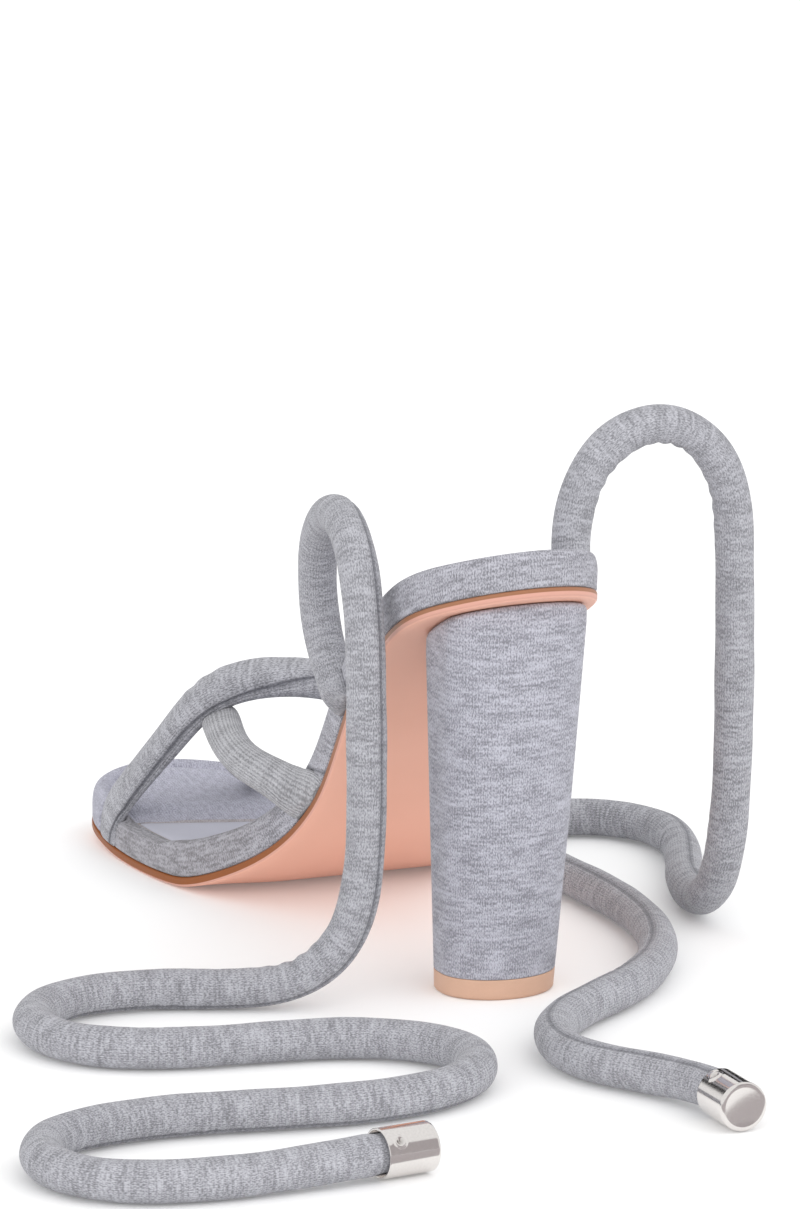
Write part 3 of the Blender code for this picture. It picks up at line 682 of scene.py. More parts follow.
# %% Tables of the straps
# Columns: x, y, z, width, height, and the outward direction's x, y, z.
TOE_STRAP = (
    (-37.6, 194.4, 4.0, 12.6, 3.6, -1.00, 0.05, 0.00),
    (-37.7, 192.8, 9.5, 12.0, 4.2, -1.00, 0.10, 0.10),
    (-35.3, 186.6, 19.0, 12.0, 5.8, -0.85, 0.10, 0.42),
    (-28.2, 173.4, 35.4, 11.6, 8.0, -0.66, 0.05, 0.72),
    (-19.4, 161.3, 49.4, 12.0, 9.4, -0.42, -0.05, 0.90),
    (-6.0, 152.0, 53.6, 12.2, 9.6, -0.10, -0.10, 1.00),
    (8.0, 143.8, 51.8, 11.4, 9.2, 0.25, -0.10, 0.96),
    (24.6, 137.4, 42.2, 11.4, 8.2, 0.66, -0.05, 0.74),
    (33.8, 134.8, 27.0, 12.6, 6.4, 0.92, -0.10, 0.34),
    (36.5, 133.5, 17.5, 14.0, 4.6, 1.00, -0.22, 0.05),
    (35.3, 130.2, 11.6, 14.6, 4.0, 1.00, -0.22, 0.00),
)
BALL_STRAP = (
    (-16.6, 98.9, 27.0, 19.0, 2.4, -0.98, -0.20, 0.00),
    (-16.8, 103.1, 31.3, 18.0, 2.6, -0.98, -0.20, 0.00),
    (-18.2, 110.3, 33.2, 13.4, 3.8, -0.95, -0.20, 0.15),
    (-21.2, 119.2, 35.3, 10.4, 5.2, -0.84, -0.12, 0.52),
    (-23.8, 129.4, 37.0, 9.6, 6.2, -0.74, -0.05, 0.66),
    (-24.0, 142.0, 39.2, 9.6, 6.6, -0.66, 0.05, 0.75),
    (-20.2, 159.0, 41.4, 10.0, 7.0, -0.40, 0.15, 0.90),
    (-14.4, 173.8, 36.2, 9.0, 7.0, -0.10, 0.45, 0.88),
    (-5.6, 185.8, 26.0, 9.4, 6.6, 0.05, 0.62, 0.78),
    (7.6, 197.1, 16.5, 11.0, 5.8, 0.28, 0.62, 0.72),
    (18.6, 203.4, 11.0, 13.6, 4.4, 0.66, 0.62, 0.42),
    (21.2, 205.0, 5.0, 14.2, 3.8, 0.76, 0.64, 0.00),
)
print(len(TOE_STRAP), "and", len(BALL_STRAP), "sections are given")

# %% A rounded section along a table
STRAP_SECTIONS, STRAP_SIDES, SQUARENESS = 240, 96, 2.5
STRAP_SEAM_DEPTH, STRIP_DEPTH, STRIP_SHADE = 0.45, 0.3, 0.3
STRIP_FROM, STRIP_IN, STRIP_OUT = 0.1, 0.4, 0.5


def strap_frame(rows):
    """Middle, ahead, outward and sideways directions of each section of a strap."""
    middle = rows[:, :3]
    ahead = unit(np.gradient(middle, axis=0))
    out = unit(rows[:, 5:8] - ahead * np.sum(rows[:, 5:8] * ahead, axis=1, keepdims=True))
    return middle, ahead, out, np.cross(out, ahead)


def rounded_turn(turn):
    """A circle pushed towards a square: cosine and sine to the power two over squareness."""
    power = 2 / SQUARENESS
    wide = np.sign(np.cos(turn)) * np.abs(np.cos(turn)) ** power
    high = np.sign(np.sin(turn)) * np.abs(np.sin(turn)) ** power
    return wide, high


def strap_grid(table, seam_turn, strip, rib, dents):
    """Rounded sections along a strap. The seam, at an angle given by share along, is a
    groove with a sunk strip beside it, on the side of the strip's sign. Each dent (share,
    angle, length, turn, depth) is a soft trough, or a ridge where its depth is negative."""
    rows = smooth_rows(table, STRAP_SECTIONS)
    middle, _, out, sideways = strap_frame(rows)
    share = np.linspace(0, 1, STRAP_SECTIONS)[:, None]
    start = np.radians(np.interp(share[:, 0], *zip(*seam_turn)))[:, None]
    turn = start + np.linspace(0, 2 * np.pi, STRAP_SIDES + 1)[None, :]
    wide, high = rounded_turn(turn)
    half_wide, half_high = rows[:, 3:4] / 2, rows[:, 4:5] / 2
    girth = np.pi * (half_wide + half_high)
    from_seam = turned_from(turn, start) / (2 * np.pi) * girth
    beside = np.sign(strip) * from_seam
    shade = ease((beside - STRIP_FROM) / STRIP_IN)
    shade = shade * (1 - ease((beside - abs(strip)) / STRIP_OUT))
    groove = soft_mark(from_seam, SEAM_WIDTH)
    sink = STRAP_SEAM_DEPTH * groove + STRIP_DEPTH * shade
    for place, angle, length, width, depth in dents:
        apart = soft_mark(turned_from(turn, np.radians(angle)), np.radians(width))
        sink = sink + depth * soft_mark(share - place, length) * apart
    section = sideways[:, None] * (wide * half_wide)[..., None]
    section = section + out[:, None] * (high * half_high)[..., None]
    points = tuck(middle[:, None] + section - unit(section) * sink[..., None])
    ribs = np.round(girth.mean() / rib)
    cloth = laid((turn - start) / (2 * np.pi) * ribs * rib, run_length(middle)[:, None])
    return points, cloth, sewn(np.maximum(groove, STRIP_SHADE * shade))


print("a strap has", STRAP_SECTIONS, "sections of", STRAP_SIDES, "sides")

# %% Straps with their seams and creases
# Seams: share along, angle. Dents: share along, angle, length, turn, depth.
TOE_SEAM = (
    (0.0, 120), (0.05, 155), (0.1, 178), (0.17, 184), (0.3, 185), (0.42, 194), (0.47, 188),
    (0.51, 182), (0.55, 171), (0.59, 155), (0.7, 150), (1.0, 150),
)
TOE_DENTS = (
    (0.345, 70, 0.008, 50, -0.16), (0.362, 80, 0.009, 45, 0.22), (0.380, 75, 0.009, 50, -0.18),
    (0.398, 85, 0.010, 45, 0.2), (0.416, 80, 0.010, 45, -0.14), (0.10, 95, 0.012, 40, 0.25),
    (0.13, 80, 0.010, 45, -0.15), (0.16, 100, 0.012, 35, 0.2), (0.255, 120, 0.03, 22, 0.2),
    (0.52, 60, 0.02, 40, 0.2), (0.60, 95, 0.012, 45, 0.22), (0.62, 90, 0.010, 45, -0.15),
    (0.86, 90, 0.012, 45, 0.25), (0.89, 80, 0.010, 40, -0.15),
)
BALL_SEAM = ((0.0, 268), (1.0, 268))
BALL_DENTS = (
    (0.10, 70, 0.012, 35, 0.25), (0.125, 80, 0.010, 40, -0.18), (0.15, 100, 0.012, 35, 0.2),
    (0.33, 110, 0.04, 18, 0.18), (0.50, 90, 0.015, 45, 0.22), (0.52, 85, 0.012, 45, -0.15),
    (0.86, 90, 0.012, 45, 0.25), (0.89, 95, 0.010, 40, -0.16),
)
TOE_STRIP, BALL_STRIP, BALL_RIB = 1.4, 1.0, 0.8
toe_points, toe_cloth, toe_marks = strap_grid(TOE_STRAP, TOE_SEAM, TOE_STRIP, RIB, TOE_DENTS)
ball_points, ball_cloth, ball_marks = strap_grid(
    BALL_STRAP, BALL_SEAM, BALL_STRIP, BALL_RIB, BALL_DENTS)
print("toe strap girth", run_length(toe_points[110])[-1].round(1), "mm at its middle")

# %% [markdown]
# ## Room where soft pieces press on each other
# Where a strap or a tie is sewn against the footbed, the padding gives way. A Boolean
# would leave ragged triangles, so the points that lie inside the other piece are pushed
# back along that piece's own inward direction, until they just clear its surface.

# %% Push points clear of a strap or a tie
STRAP_GAP, TIE_GAP, ROUND = 0.15, 0.3, 2.0
PRESS_ALONG, PRESS_OVER = 3.0, 1.0


def make_room(points, rows, gap, power):
    """Finds each point's nearest section, its share across and its place outwards, and
    sinks it below the section's inner face: minus half the height times the rounded edge."""
    middle, ahead, out, sideways = strap_frame(rows)
    flat = points.reshape(-1, 3)
    near = np.linalg.norm(flat[:, None] - middle[None], axis=2).argmin(axis=1)
    away = flat - middle[near]
    along = np.abs(np.sum(away * ahead[near], axis=1))
    share = np.abs(np.sum(away * sideways[near], axis=1)) / (rows[near, 3] / 2 + gap)
    outward = np.sum(away * out[near], axis=1)
    half = rows[near, 4] / 2 + gap
    face = half * np.clip(1 - share**power, 0, None) ** (1 / power)
    pressed = (share < 1) & (along < PRESS_ALONG) & (outward < half + PRESS_OVER)
    sink = np.where(pressed, np.clip(outward + face, 0, None), 0)
    return (flat - out[near] * sink[:, None]).reshape(points.shape)


def tie_rows(route, outward):
    """The start of a tie as rows of a strap: a round section with one outward side."""
    path = smooth_rows(route, 200)[:24]
    step = path[1] - path[0]
    path = np.concatenate([path[0] - step * np.arange(3, 0, -1)[:, None], path])
    size = np.full((len(path), 2), TIE_DIAMETER)
    return np.concatenate([path, size, np.broadcast_to(outward, path.shape)], axis=1)


over_ball = smooth_rows(TOE_STRAP, 120)[20:110]
ball_points = make_room(ball_points, over_ball, STRAP_GAP, SQUARENESS)
toe_strap = skin("toe_strap", [tube(toe_points, toe_cloth, toe_marks)],
                 "vamp_straps")
ball_strap = skin("ball_strap", [tube(ball_points, ball_cloth + [200, 300], ball_marks)],
                  "vamp_straps")

# %% [markdown]
# ## The footbed
# A board with a layer of foam is wrapped in jersey: the wrap shows as a soft band round
# the edge, and as the deck under the toes. Behind the toes the top is sunk a little for
# the sock. The band is one profile carried round the plan; the sunk seat, the step at the
# sock's front edge and the deck are sheets from side to side that share its top line.
# Between the arch tie and a slanting seam the wrap is a piece of its own, with its ribs
# along the edge, so there the two directions of the cloth change places. Round the toes
# the knit is calm and its grey lighter, which is painted light. Along the ball it is knitted
# livelier and carries painted shade with a warm tint.

# %% Sides of the footbed
# Columns: inset from the plan, height over the underside.
BAND_ROWS = smooth_rows((
    (0.7, 2.55), (0.2, 2.75), (0.0, 3.5), (-0.1, 5.4), (-0.2, 7.8), (0.0, 9.8), (0.6, 11.3),
    (1.7, 12.0), (2.9, 11.9), (3.9, 11.4), (4.5, 10.8),
), 36)
SEAT_SIDE = ((4.5, 10.8), (4.68, 10.6), (4.8, 10.4), (4.88, 10.2), (4.92, 9.9), (4.92, 8.3))
DECK_SIDE = ((4.5, 10.8), (5.2, 10.95), (6.0, 11.35), (6.8, 11.7), (7.5, 11.85), (8.2, 11.9))
SEAT_TRIM = np.array((0.0, 1.0, 1.0, 0.3, 0.0, 0.0))
DECK_DROP = np.array((0.0, 0.06, 0.25, 0.6, 0.9, 1.0))
SHEET_COLUMNS = 40


def side_to_side(rows):
    """A sheet that follows rows of (inset, height) down from one side, crosses at the last
    of them and climbs the other side: station by place across."""
    outer, inner = zip(*(both_sides(inset) for inset, _ in rows))
    down = np.stack([lift(o, h) for o, (_, h) in zip(outer, rows)], axis=1)
    climb = np.stack([lift(i, h) for i, (_, h) in zip(inner, rows)], axis=1)[:, ::-1]
    middle = across(*rows[-1], SHEET_COLUMNS)[:, 1:-1]
    return np.concatenate([down, middle, climb], axis=1)


def over_sheet(values, middle):
    """Values for the columns of side_to_side: down one side, one between, up the other."""
    return np.concatenate([values, np.full(SHEET_COLUMNS - 2, middle), values[::-1]])


print("the band stands", np.ptp(BAND_ROWS[:, 1]).round(2), "mm high")

# %% Band
BAND_SEAM_Y, SEAM_SLANT, BAND_SEAM_WIDTH = 93.5, 0.88, 0.45
SLANT_FROM_INSET, SLANT_FADE = 0.6, 3.8
NOTCH_Y, NOTCH_HEIGHT, NOTCH_WIDTH, NOTCH_PAINTED_SHADE = 179.6, 6.1, 0.75, 0.8
CALM_FROM_Y, CALM_OVER, CALM_MOST = 183.0, 12.0, 0.9
BALL_FROM_Y, BALL_OVER, BALL_PAINTED_SHADE, BALL_PAINTED_WARM_TINT, BALL_LIVELY = 112.0, 25.0, 0.27, 0.1, 0.5

seam_column = len(PLAN) - int(np.argmin(np.abs(INNER[:, 1] - BAND_SEAM_Y)))
rise = BAND_ROWS[:, 1] - BAND_ROWS[0, 1]
slants = -SEAM_SLANT * rise * (1 - ease((BAND_ROWS[:, 0] - SLANT_FROM_INSET) / SLANT_FADE))
band, band_cloth = walls(BAND_ROWS, seam_column, slants)
from_seam = np.minimum(band_cloth[..., 0], band_cloth[..., 0].max() - band_cloth[..., 0])
notch_plan = np.array([np.interp(NOTCH_Y, INNER[:, 1], INNER[:, 0]), NOTCH_Y])
notch_apart = np.linalg.norm(band - lift(notch_plan, NOTCH_HEIGHT), axis=-1)
# Round the toes the knit is calm and its grey lighter, which is painted light.
calm = CALM_MOST * ease((band[..., 1] - CALM_FROM_Y) / CALM_OVER)
ball = ease((band[..., 1] - BALL_FROM_Y) / BALL_OVER) * (1 - calm)
# A small notch on the inner side near the toe strap is painted dark, which is painted shade.
seam_and_notch_shade = np.maximum(soft_mark(from_seam, BAND_SEAM_WIDTH),
                      NOTCH_PAINTED_SHADE * soft_mark(notch_apart, NOTCH_WIDTH))
# Along the ball the band carries painted shade with a warm tint, through the sewn and trimmed
# marks.
band_marks = sewn(np.maximum(seam_and_notch_shade, BALL_PAINTED_SHADE * ball), BALL_PAINTED_WARM_TINT * ball,
                  calm - BALL_LIVELY * ball)
print("band has", band.shape[0], "rows of", band.shape[1], "points")

# %% Seat, step and deck
DECK_SINK, DECK_RISE_LONG = 1.5, 15.0

base = across(*BAND_ROWS[0], 12)
seat = side_to_side(SEAT_SIDE)[: SOCK_STATION + 1]
deck = side_to_side(DECK_SIDE)[SOCK_STATION:]
risen = ease((STATION[SOCK_STATION:] - SOCK_FRONT_Y) / DECK_RISE_LONG)[:, None]
deck[..., 2] -= DECK_SINK * (1 - risen) * over_sheet(DECK_DROP, 1.0)
step = np.stack([seat[-1], deck[0]])
seat_marks = sewn(0.0, over_sheet(SEAT_TRIM, 0.0)[None, :] * np.ones((len(seat), 1)))
print("deck rises", (deck[-20, 30, 2] - deck[0, 30, 2]).round(2), "mm in front of the sock")

# %% The band dips behind the toe strap
SOCK_LEVEL, DIP_SHARE = 9.8, 0.85
DIP_FROM_X, DIP_WIDE = 20.0, 8.0
DIP_FROM_Y, DIP_IN, DIP_TO_Y, DIP_OUT = 152.0, 14.0, 184.0, 8.0


def dip(points):
    """Sinks a share of what stands over the sock, on the inner side from the ball to the
    toe strap: an S across the foot times an S in and an S out along it."""
    x, y, z = np.moveaxis(points, -1, 0)
    along = ease((y - DIP_FROM_Y) / DIP_IN) * (1 - ease((y - DIP_TO_Y) / DIP_OUT))
    share = ease((-x - DIP_FROM_X) / DIP_WIDE) * along
    sunk = points.copy()
    sunk[..., 2] = z - DIP_SHARE * share * np.clip(z - underside(y) - SOCK_LEVEL, 0, None)
    return sunk


band, seat, step, deck = (dip(sheet) for sheet in (band, seat, step, deck))
behind_strap = band[:, int(len(PLAN) * 0.93), 2]
print("band is", np.ptp(behind_strap).round(1), "mm high behind the toe strap")

# %% Let the straps and ties press in
ARCH_PIECE = 24.0
# The step and the deck are calm: a calmer knit in a lighter grey, which is painted light.
STEP_MARKS, DECK_MARKS = (0.0, 0.4, 1.0), (0.0, 0.0, 1.0)

pressing = [
    (smooth_rows(TOE_STRAP, 240), STRAP_GAP, SQUARENESS),
    (smooth_rows(BALL_STRAP, 240), STRAP_GAP, SQUARENESS),
    (tie_rows(ARCH_TIE, (-1.0, 0.0, 0.0)), TIE_GAP, ROUND),
    (tie_rows(HEEL_TIE, (1.0, 0.0, 0.0)), TIE_GAP, ROUND),
]
base_cloth, seat_cloth, step_cloth, deck_cloth = map(flat_cloth, (base, seat, step, deck))
step_cloth[1] += [0.0, 2.0]
sheets = [band, base, seat, step, deck]
for rows, gap, power in pressing:
    sheets = [make_room(sheet, rows, gap, power) for sheet in sheets]
band, base, seat, step, deck = sheets
arch = int(np.searchsorted(band_cloth[0, :, 0], ARCH_PIECE)) + 1
footbed = skin("footbed_wrap", [
    (band[:, :arch], band_cloth[:, :arch, ::-1], band_marks[:, :arch]),
    (band[:, arch - 1 :], band_cloth[:, arch - 1 :], band_marks[:, arch - 1 :]),
    (base, base_cloth, PLAIN), (seat, seat_cloth, seat_marks),
    (step, step_cloth, STEP_MARKS), (deck, deck_cloth + [500, 0], DECK_MARKS),
], "footbed")

# %% [markdown]
# ## The sock
# The sock is the thin smooth lining that the heel and the ball stand on. It lies in the
# sunk part of the footbed and ends in a slanting edge behind the toes.

# %% Sock
SOCK_ROWS = ((5.2, 8.6), (5.2, 9.3), (5.25, 9.55), (5.4, 9.72), (5.7, SOCK_LEVEL))
SOCK_GAP = 0.3

sock_top = side_to_side(SOCK_ROWS)[: SOCK_STATION + 1]
sock_low = across(*SOCK_ROWS[0], sock_top.shape[1])[: SOCK_STATION + 1]
for sheet in (sock_top, sock_low):
    sheet[-1, :, 1] -= SOCK_GAP
sock_front = np.stack([sock_low[-1], sock_top[-1]])
insole_sock = skin("sock_sheet", [
    (sheet, flat_cloth(sheet), PLAIN) for sheet in (sock_top, sock_low, sock_front)
], "insole_sock")

# %% [markdown]
# ## The block heel and its tip
# The heel is a tall block with a round back, soft corners and a flat breast, a little
# wider at the top. Its section changes slowly, so it is drawn as one closed line at each
# share of the height, and the lines are stacked between the tip and the sloping seat.

# %% Heel sections
# Columns: share of the height, middle x, half width, rear y, breast y, depth of the round
# back, radius of the breast's corners.
HEEL = np.array((
    (0.00, 1.9, 14.6, 19.0, 43.0, 12.0, 9.5),
    (0.50, 1.3, 16.5, 12.2, 40.7, 11.5, 10.8),
    (1.00, 0.6, 18.5, 5.4, 38.0, 11.0, 12.0),
))
HEEL_COLUMNS, CAP_ROWS = 200, 8


def heel_line(share, grow):
    """The plan of the heel at a share of its height: half an ellipse at the back, straight
    sides and quarter circles at the breast, read evenly from the middle of the breast."""
    middle, half, rear, breast, depth, corner = (
        np.interp(share, HEEL[:, 0], HEEL[:, c]) for c in range(1, 7))
    half, rear, breast = half + grow, rear - grow, breast + grow
    arc, turn = np.radians(np.linspace(90, 0, 60)), np.radians(np.linspace(90, 0, 40))
    corner_x, corner_y = half - corner * (1 - np.cos(turn)), corner * np.sin(turn)
    side_x = np.concatenate([[0.0], corner_x, half * np.sin(arc)])
    side_y = np.concatenate([
        [breast], breast - corner + corner_y, rear + depth * (1 - np.cos(arc))])
    other_side = np.stack([-side_x, side_y], 1)[-2::-1]
    line = np.concatenate([np.stack([side_x, side_y], 1), other_side])
    walked = run_length(line)
    even = np.linspace(0, walked[-1], HEEL_COLUMNS + 1)
    x, y = (np.interp(even, walked, line[:, c]) for c in (0, 1))
    return np.stack([middle + x, y], axis=1)


def heel_skin(name, node, low, top, levels, count):
    """Stacks heel lines between a level base and a top given by y; levels are rows of
    (rise, share, grow). The cover meets in a seam at the breast. Both ends are closed by
    the same line shrunk to its middle."""
    levels = np.array(levels, float)
    rise = np.unique(np.concatenate([levels[:, 0], np.linspace(0, 1, count)]))
    share, grow = (np.interp(rise, levels[:, 0], levels[:, c]) for c in (1, 2))
    plans = np.stack([heel_line(s, g) for s, g in zip(share, grow)])
    z = low + (top(plans[..., 1]) - low) * rise[:, None]
    block = np.concatenate([plans, z[..., None]], axis=-1)
    girth = run_length(plans[len(plans) // 2])[-1]
    walked = np.linspace(0, girth, HEEL_COLUMNS + 1)[None, :]
    seam = soft_mark(np.minimum(walked, girth - walked), SEAM_WIDTH) * np.ones_like(z)
    mix = np.linspace(0, 1, CAP_ROWS)[:, None, None]
    caps = [line * (1 - mix) + line[:-1].mean(axis=0) * mix for line in (block[0], block[-1])]
    return skin(name, [(block, laid(walked, z), sewn(seam))] + [
        (cap, flat_cloth(cap), PLAIN) for cap in caps], node)


print("heel is", 2 * HEEL[0, 2], "mm wide below and", 2 * HEEL[-1, 2], "mm above")

# %% Heel cover and tip
# Levels: share of the rise, share of the heel's height, how much the line grows.
TIP_HEIGHT, TIP_GAP, SEAT_GAP = 5.3, 0.1, 0.3
COVER_LEVELS = (
    (0.0, 0.05, -0.12), (0.002, 0.0515, -0.03), (0.004, 0.053, 0.0), (0.45, 0.5, 0.0),
    (0.95, 0.97, 0.0), (0.985, 0.995, -0.1), (0.994, 1.0, -0.4), (1.0, 1.0, -1.0),
)
TIP_LEVELS = (
    (0.0, 0.0, -0.7), (0.03, 0.0, -0.3), (0.12, 0.0, 0.0), (0.96, 0.048, 0.0),
    (0.99, 0.05, -0.03), (1.0, 0.05, -0.1),
)
heel_block = heel_skin("heel_cover", "heel_block", TIP_HEIGHT + TIP_GAP,
                       lambda y: underside(y) - SEAT_GAP, COVER_LEVELS, 60)
heel_tip = heel_skin("heel_tip_cap", "heel_tip", 0.0,
                     lambda y: np.full_like(y, TIP_HEIGHT), TIP_LEVELS, 10)

# %% [markdown]
# ## Shader maths as plain sums
# A material is a net of small nodes. Placing each by hand is slow to read, so one class
# wraps a socket and lets Python's own signs add the Math nodes. Any other node comes from
# one method that takes its type, its settings and what its sockets are given.

# %% A socket that can be reckoned with
class Wire:
    """A node's output that can be added, multiplied and divided as a number is."""

    def __init__(self, tree, socket=None):
        self.tree, self.socket = tree, socket

    def node(self, kind, settings, sockets, output=0):
        """Adds a node: settings first, then a value or a link for each named socket."""
        made = self.tree.nodes.new(kind)
        for key, value in settings.items():
            setattr(made, key, value)
        for key, value in sockets.items():
            if isinstance(value, Wire):
                self.tree.links.new(value.socket, made.inputs[key])
            else:
                made.inputs[key].default_value = value
        return Wire(self.tree, made.outputs[output])

    def maths(self, operation, *values):
        """A Math node that works on values and wires."""
        return self.node("ShaderNodeMath", {"operation": operation}, dict(enumerate(values)))

    def __add__(self, other):
        return self.maths("ADD", self, other)

    def __sub__(self, other):
        return self.maths("SUBTRACT", self, other)

    def __rsub__(self, other):
        return self.maths("SUBTRACT", other, self)

    def __mul__(self, other):
        return self.maths("MULTIPLY", self, other)

    def __truediv__(self, other):
        return self.maths("DIVIDE", self, other)

    __radd__, __rmul__ = __add__, __mul__

    def wave(self):
        """The sine of this."""
        return self.maths("SINE", self)

    def size(self):
        """This without its sign."""
        return self.maths("ABSOLUTE", self)

    def parts(self):
        """The three parts of a vector."""
        first = self.node("ShaderNodeSeparateXYZ", {}, {0: self})
        return [Wire(self.tree, socket) for socket in first.socket.node.outputs]

    def noise(self, scale, detail):
        """Cloudy noise from nought to one at this place."""
        return self.node("ShaderNodeTexNoise", {},
                         {"Vector": self, "Scale": scale, "Detail": detail})

    def between(self, low, high):
        """Nought below low, one above high and a smooth S between."""
        return self.node("ShaderNodeMapRange", {"interpolation_type": "SMOOTHSTEP"},
                         {"Value": self, "From Min": low, "From Max": high})

    def blend(self, first, second):
        """The first colour where this is nought and the second where it is one."""
        return self.node("ShaderNodeMix", {"data_type": "RGBA"},
                         {0: self, 6: first, 7: second}, 2)

    def bump(self, strength, distance):
        """A bent normal for the shader, with this as the height."""
        return self.node("ShaderNodeBump", {},
                         {"Strength": strength, "Distance": distance, "Height": self})


print("wires can", ", ".join(name for name in vars(Wire) if name[0] != "_"))


# %% Finishes and what they read
def new_finish(name, **constants):
    """A material, its tree as a wire, its shader, and constants on the shader's sockets."""
    made = bpy.data.materials.new(name)
    made.use_nodes = True
    shader = made.node_tree.nodes["Principled BSDF"]
    for key, value in constants.items():
        shader.inputs[key.replace("_", " ")].default_value = value
    return made, Wire(made.node_tree), shader


def feed(shader, **links):
    """Links wires to the shader's sockets."""
    for key, wire in links.items():
        wire.tree.links.new(wire.socket, shader.inputs[key.replace("_", " ")])


def dress(finish, *pieces):
    """Gives pieces a finish as their only material."""
    for piece in pieces:
        piece.data.materials.clear()
        piece.data.materials.append(finish)


def cloth_place(wire):
    """The place on the flat cloth, in millimetres."""
    return wire.node("ShaderNodeUVMap", {"uv_map": "cloth"}, {})


def marks_of(wire):
    """The marks sewn, trimmed and worn calm, as three wires."""
    return wire.node("ShaderNodeAttribute", {"attribute_name": "marks"}, {}, 1).parts()


print("finishes read the cloth and its marks")

# %% [markdown]
# ## Marl jersey
# Marl is knitted from yarn in which pale and dark fibres are twisted, so it is never one
# grey: short dark and pale dashes run across fine ribs. The ribs are lines of the knit
# along one direction of the cloth, and the dashes are noise stretched across them in
# three lengths, with single stitches as specks. A flat grey with a bump would look like
# felt, so the ribs and the stitches are also painted into the colour as light and shade.
# Where the cloth is calm, the dashes fade, soft blots take their place and the grey is
# lighter, which is painted light.

# %% Jersey
STITCH, KNIT_DEPTH = 0.5, 0.00012
# The lighter grey of calm cloth, which is painted light.
CALM_PAINTED_LIGHT_LOW, CALM_PAINTED_LIGHT_HIGH = (0.28, 0.28, 0.335, 1.0), (0.48, 0.48, 0.565, 1.0)
# Beige for trims and for a painted warm tint; dark for seams and for painted shade.
TRIM_AND_WARM_TINT_BEIGE, SEAM_AND_SHADE_DARK = (0.50, 0.40, 0.28, 1.0), (0.05, 0.052, 0.066, 1.0)


def marl_jersey(name, middle, contrast, dash, rib, rib_light_and_shade, strength):
    """Grey that swings about its middle by contrast and is lighter where calm, as painted light;
    seams and painted shade are dark, and trims and a painted warm tint are beige.
    """
    finish, wire, shader = new_finish(
        name, Roughness=0.92, Sheen_Weight=0.15, Sheen_Roughness=0.45, Specular_IOR_Level=0.15)
    u, v, _ = cloth_place(wire).parts()
    seam, trim_and_tint, calm = marks_of(wire)

    def swing(wide, tall, shift):
        """Noise of one size about nought: wide across the ribs and tall along them."""
        at = wire.node("ShaderNodeCombineXYZ", {}, {0: u / wide + shift, 1: v / tall + shift})
        return wire.node("ShaderNodeTexNoise", {"noise_dimensions": "2D"},
                         {"Vector": at, "Scale": 1.0, "Detail": 0.0}) - 0.5

    dashes = swing(11.0, 0.95, 3.1) * 0.9 + swing(4.2, 0.85, 7.7) * 1.1 + swing(1.4, 0.8, 1.3)
    dashes = dashes * dash
    specks, patches, blots = swing(0.28, 0.6, 5.9), swing(7.0, 3.2, 9.2), swing(1.2, 2.8, 2.7)
    ribs = (u * (2 * np.pi / rib)).wave()
    stitches = (v * (2 * np.pi / STITCH) + (u * (np.pi / rib)).wave().size() * 2.4).wave()
    tone = (dashes + patches * 0.4) * (1 - calm * 0.75) + blots * calm * 0.6
    # Ribs and stitches are also painted into the colour as light and shade.
    tone = tone + specks * (0.7 + 1.3 * dash) + ribs * rib_light_and_shade + stitches * 0.03
    tone = (tone + 0.5).between(-0.1, 1.1)
    dark, light = (tuple(c * (1 + side * contrast) for c in middle) + (1.0,) for side in (-1, 1))
    # Where the cloth is calm the grey is a lighter one, which is painted light.
    grey = calm.blend(tone.blend(dark, light), tone.blend(CALM_PAINTED_LIGHT_LOW, CALM_PAINTED_LIGHT_HIGH))
    # Sewn marks darken seams and paint shade; trimmed marks add beige trims and a warm tint to
    # that shade.
    colour = (seam * 0.75).blend((trim_and_tint * 0.75).blend(grey, TRIM_AND_WARM_TINT_BEIGE), SEAM_AND_SHADE_DARK)
    height = ribs * 0.5 + stitches * 0.28 + specks * 0.8 + dashes * 0.6
    feed(shader, Base_Color=colour, Normal=height.bump(strength, KNIT_DEPTH))
    return finish


# Columns: pieces, name, middle grey, contrast, dashes, rib, painted light and shade of the ribs,
# bump.
tie_cords = [tie for tie, _ in ties.values()]
for pieces, *knit in (
        ([heel_block], "heel_jersey", (0.342, 0.342, 0.388), 0.40, 0.40, RIB, 0.09, 0.5),
        ([toe_strap, *tie_cords],
         "upper_jersey", (0.318, 0.318, 0.345), 0.40, 0.40, RIB, 0.08, 0.6),
        ([ball_strap], "ball_jersey", (0.34, 0.34, 0.36), 0.40, 0.14, BALL_RIB, 0.22, 0.9),
        ([footbed], "footbed_jersey", (0.322, 0.32, 0.356), 0.42, 0.45, RIB, 0.10, 0.6)):
    dress(marl_jersey(*knit), *pieces)
    print(knit[0], "covers", ", ".join(piece.name for piece in pieces))

# %% [markdown]
# ## Sock, sole, tip and metal
# The sock is a smooth grey lining with a fine grain. The sole is a peach synthetic, satin
# and almost plain, with a tan edge that is broader at the front; below the tan its rounded
# edge is painted darker, which is painted shade. The tip is moulded rubber. These three share
# one recipe, a cloudy colour with a fine grain, on the shoe's own coordinates. The caps are
# polished metal, bright with a few fine scratches, with painted shade in the crimp's dent.

# %% Smooth grained finishes
GRAIN_DEPTH = 0.0001


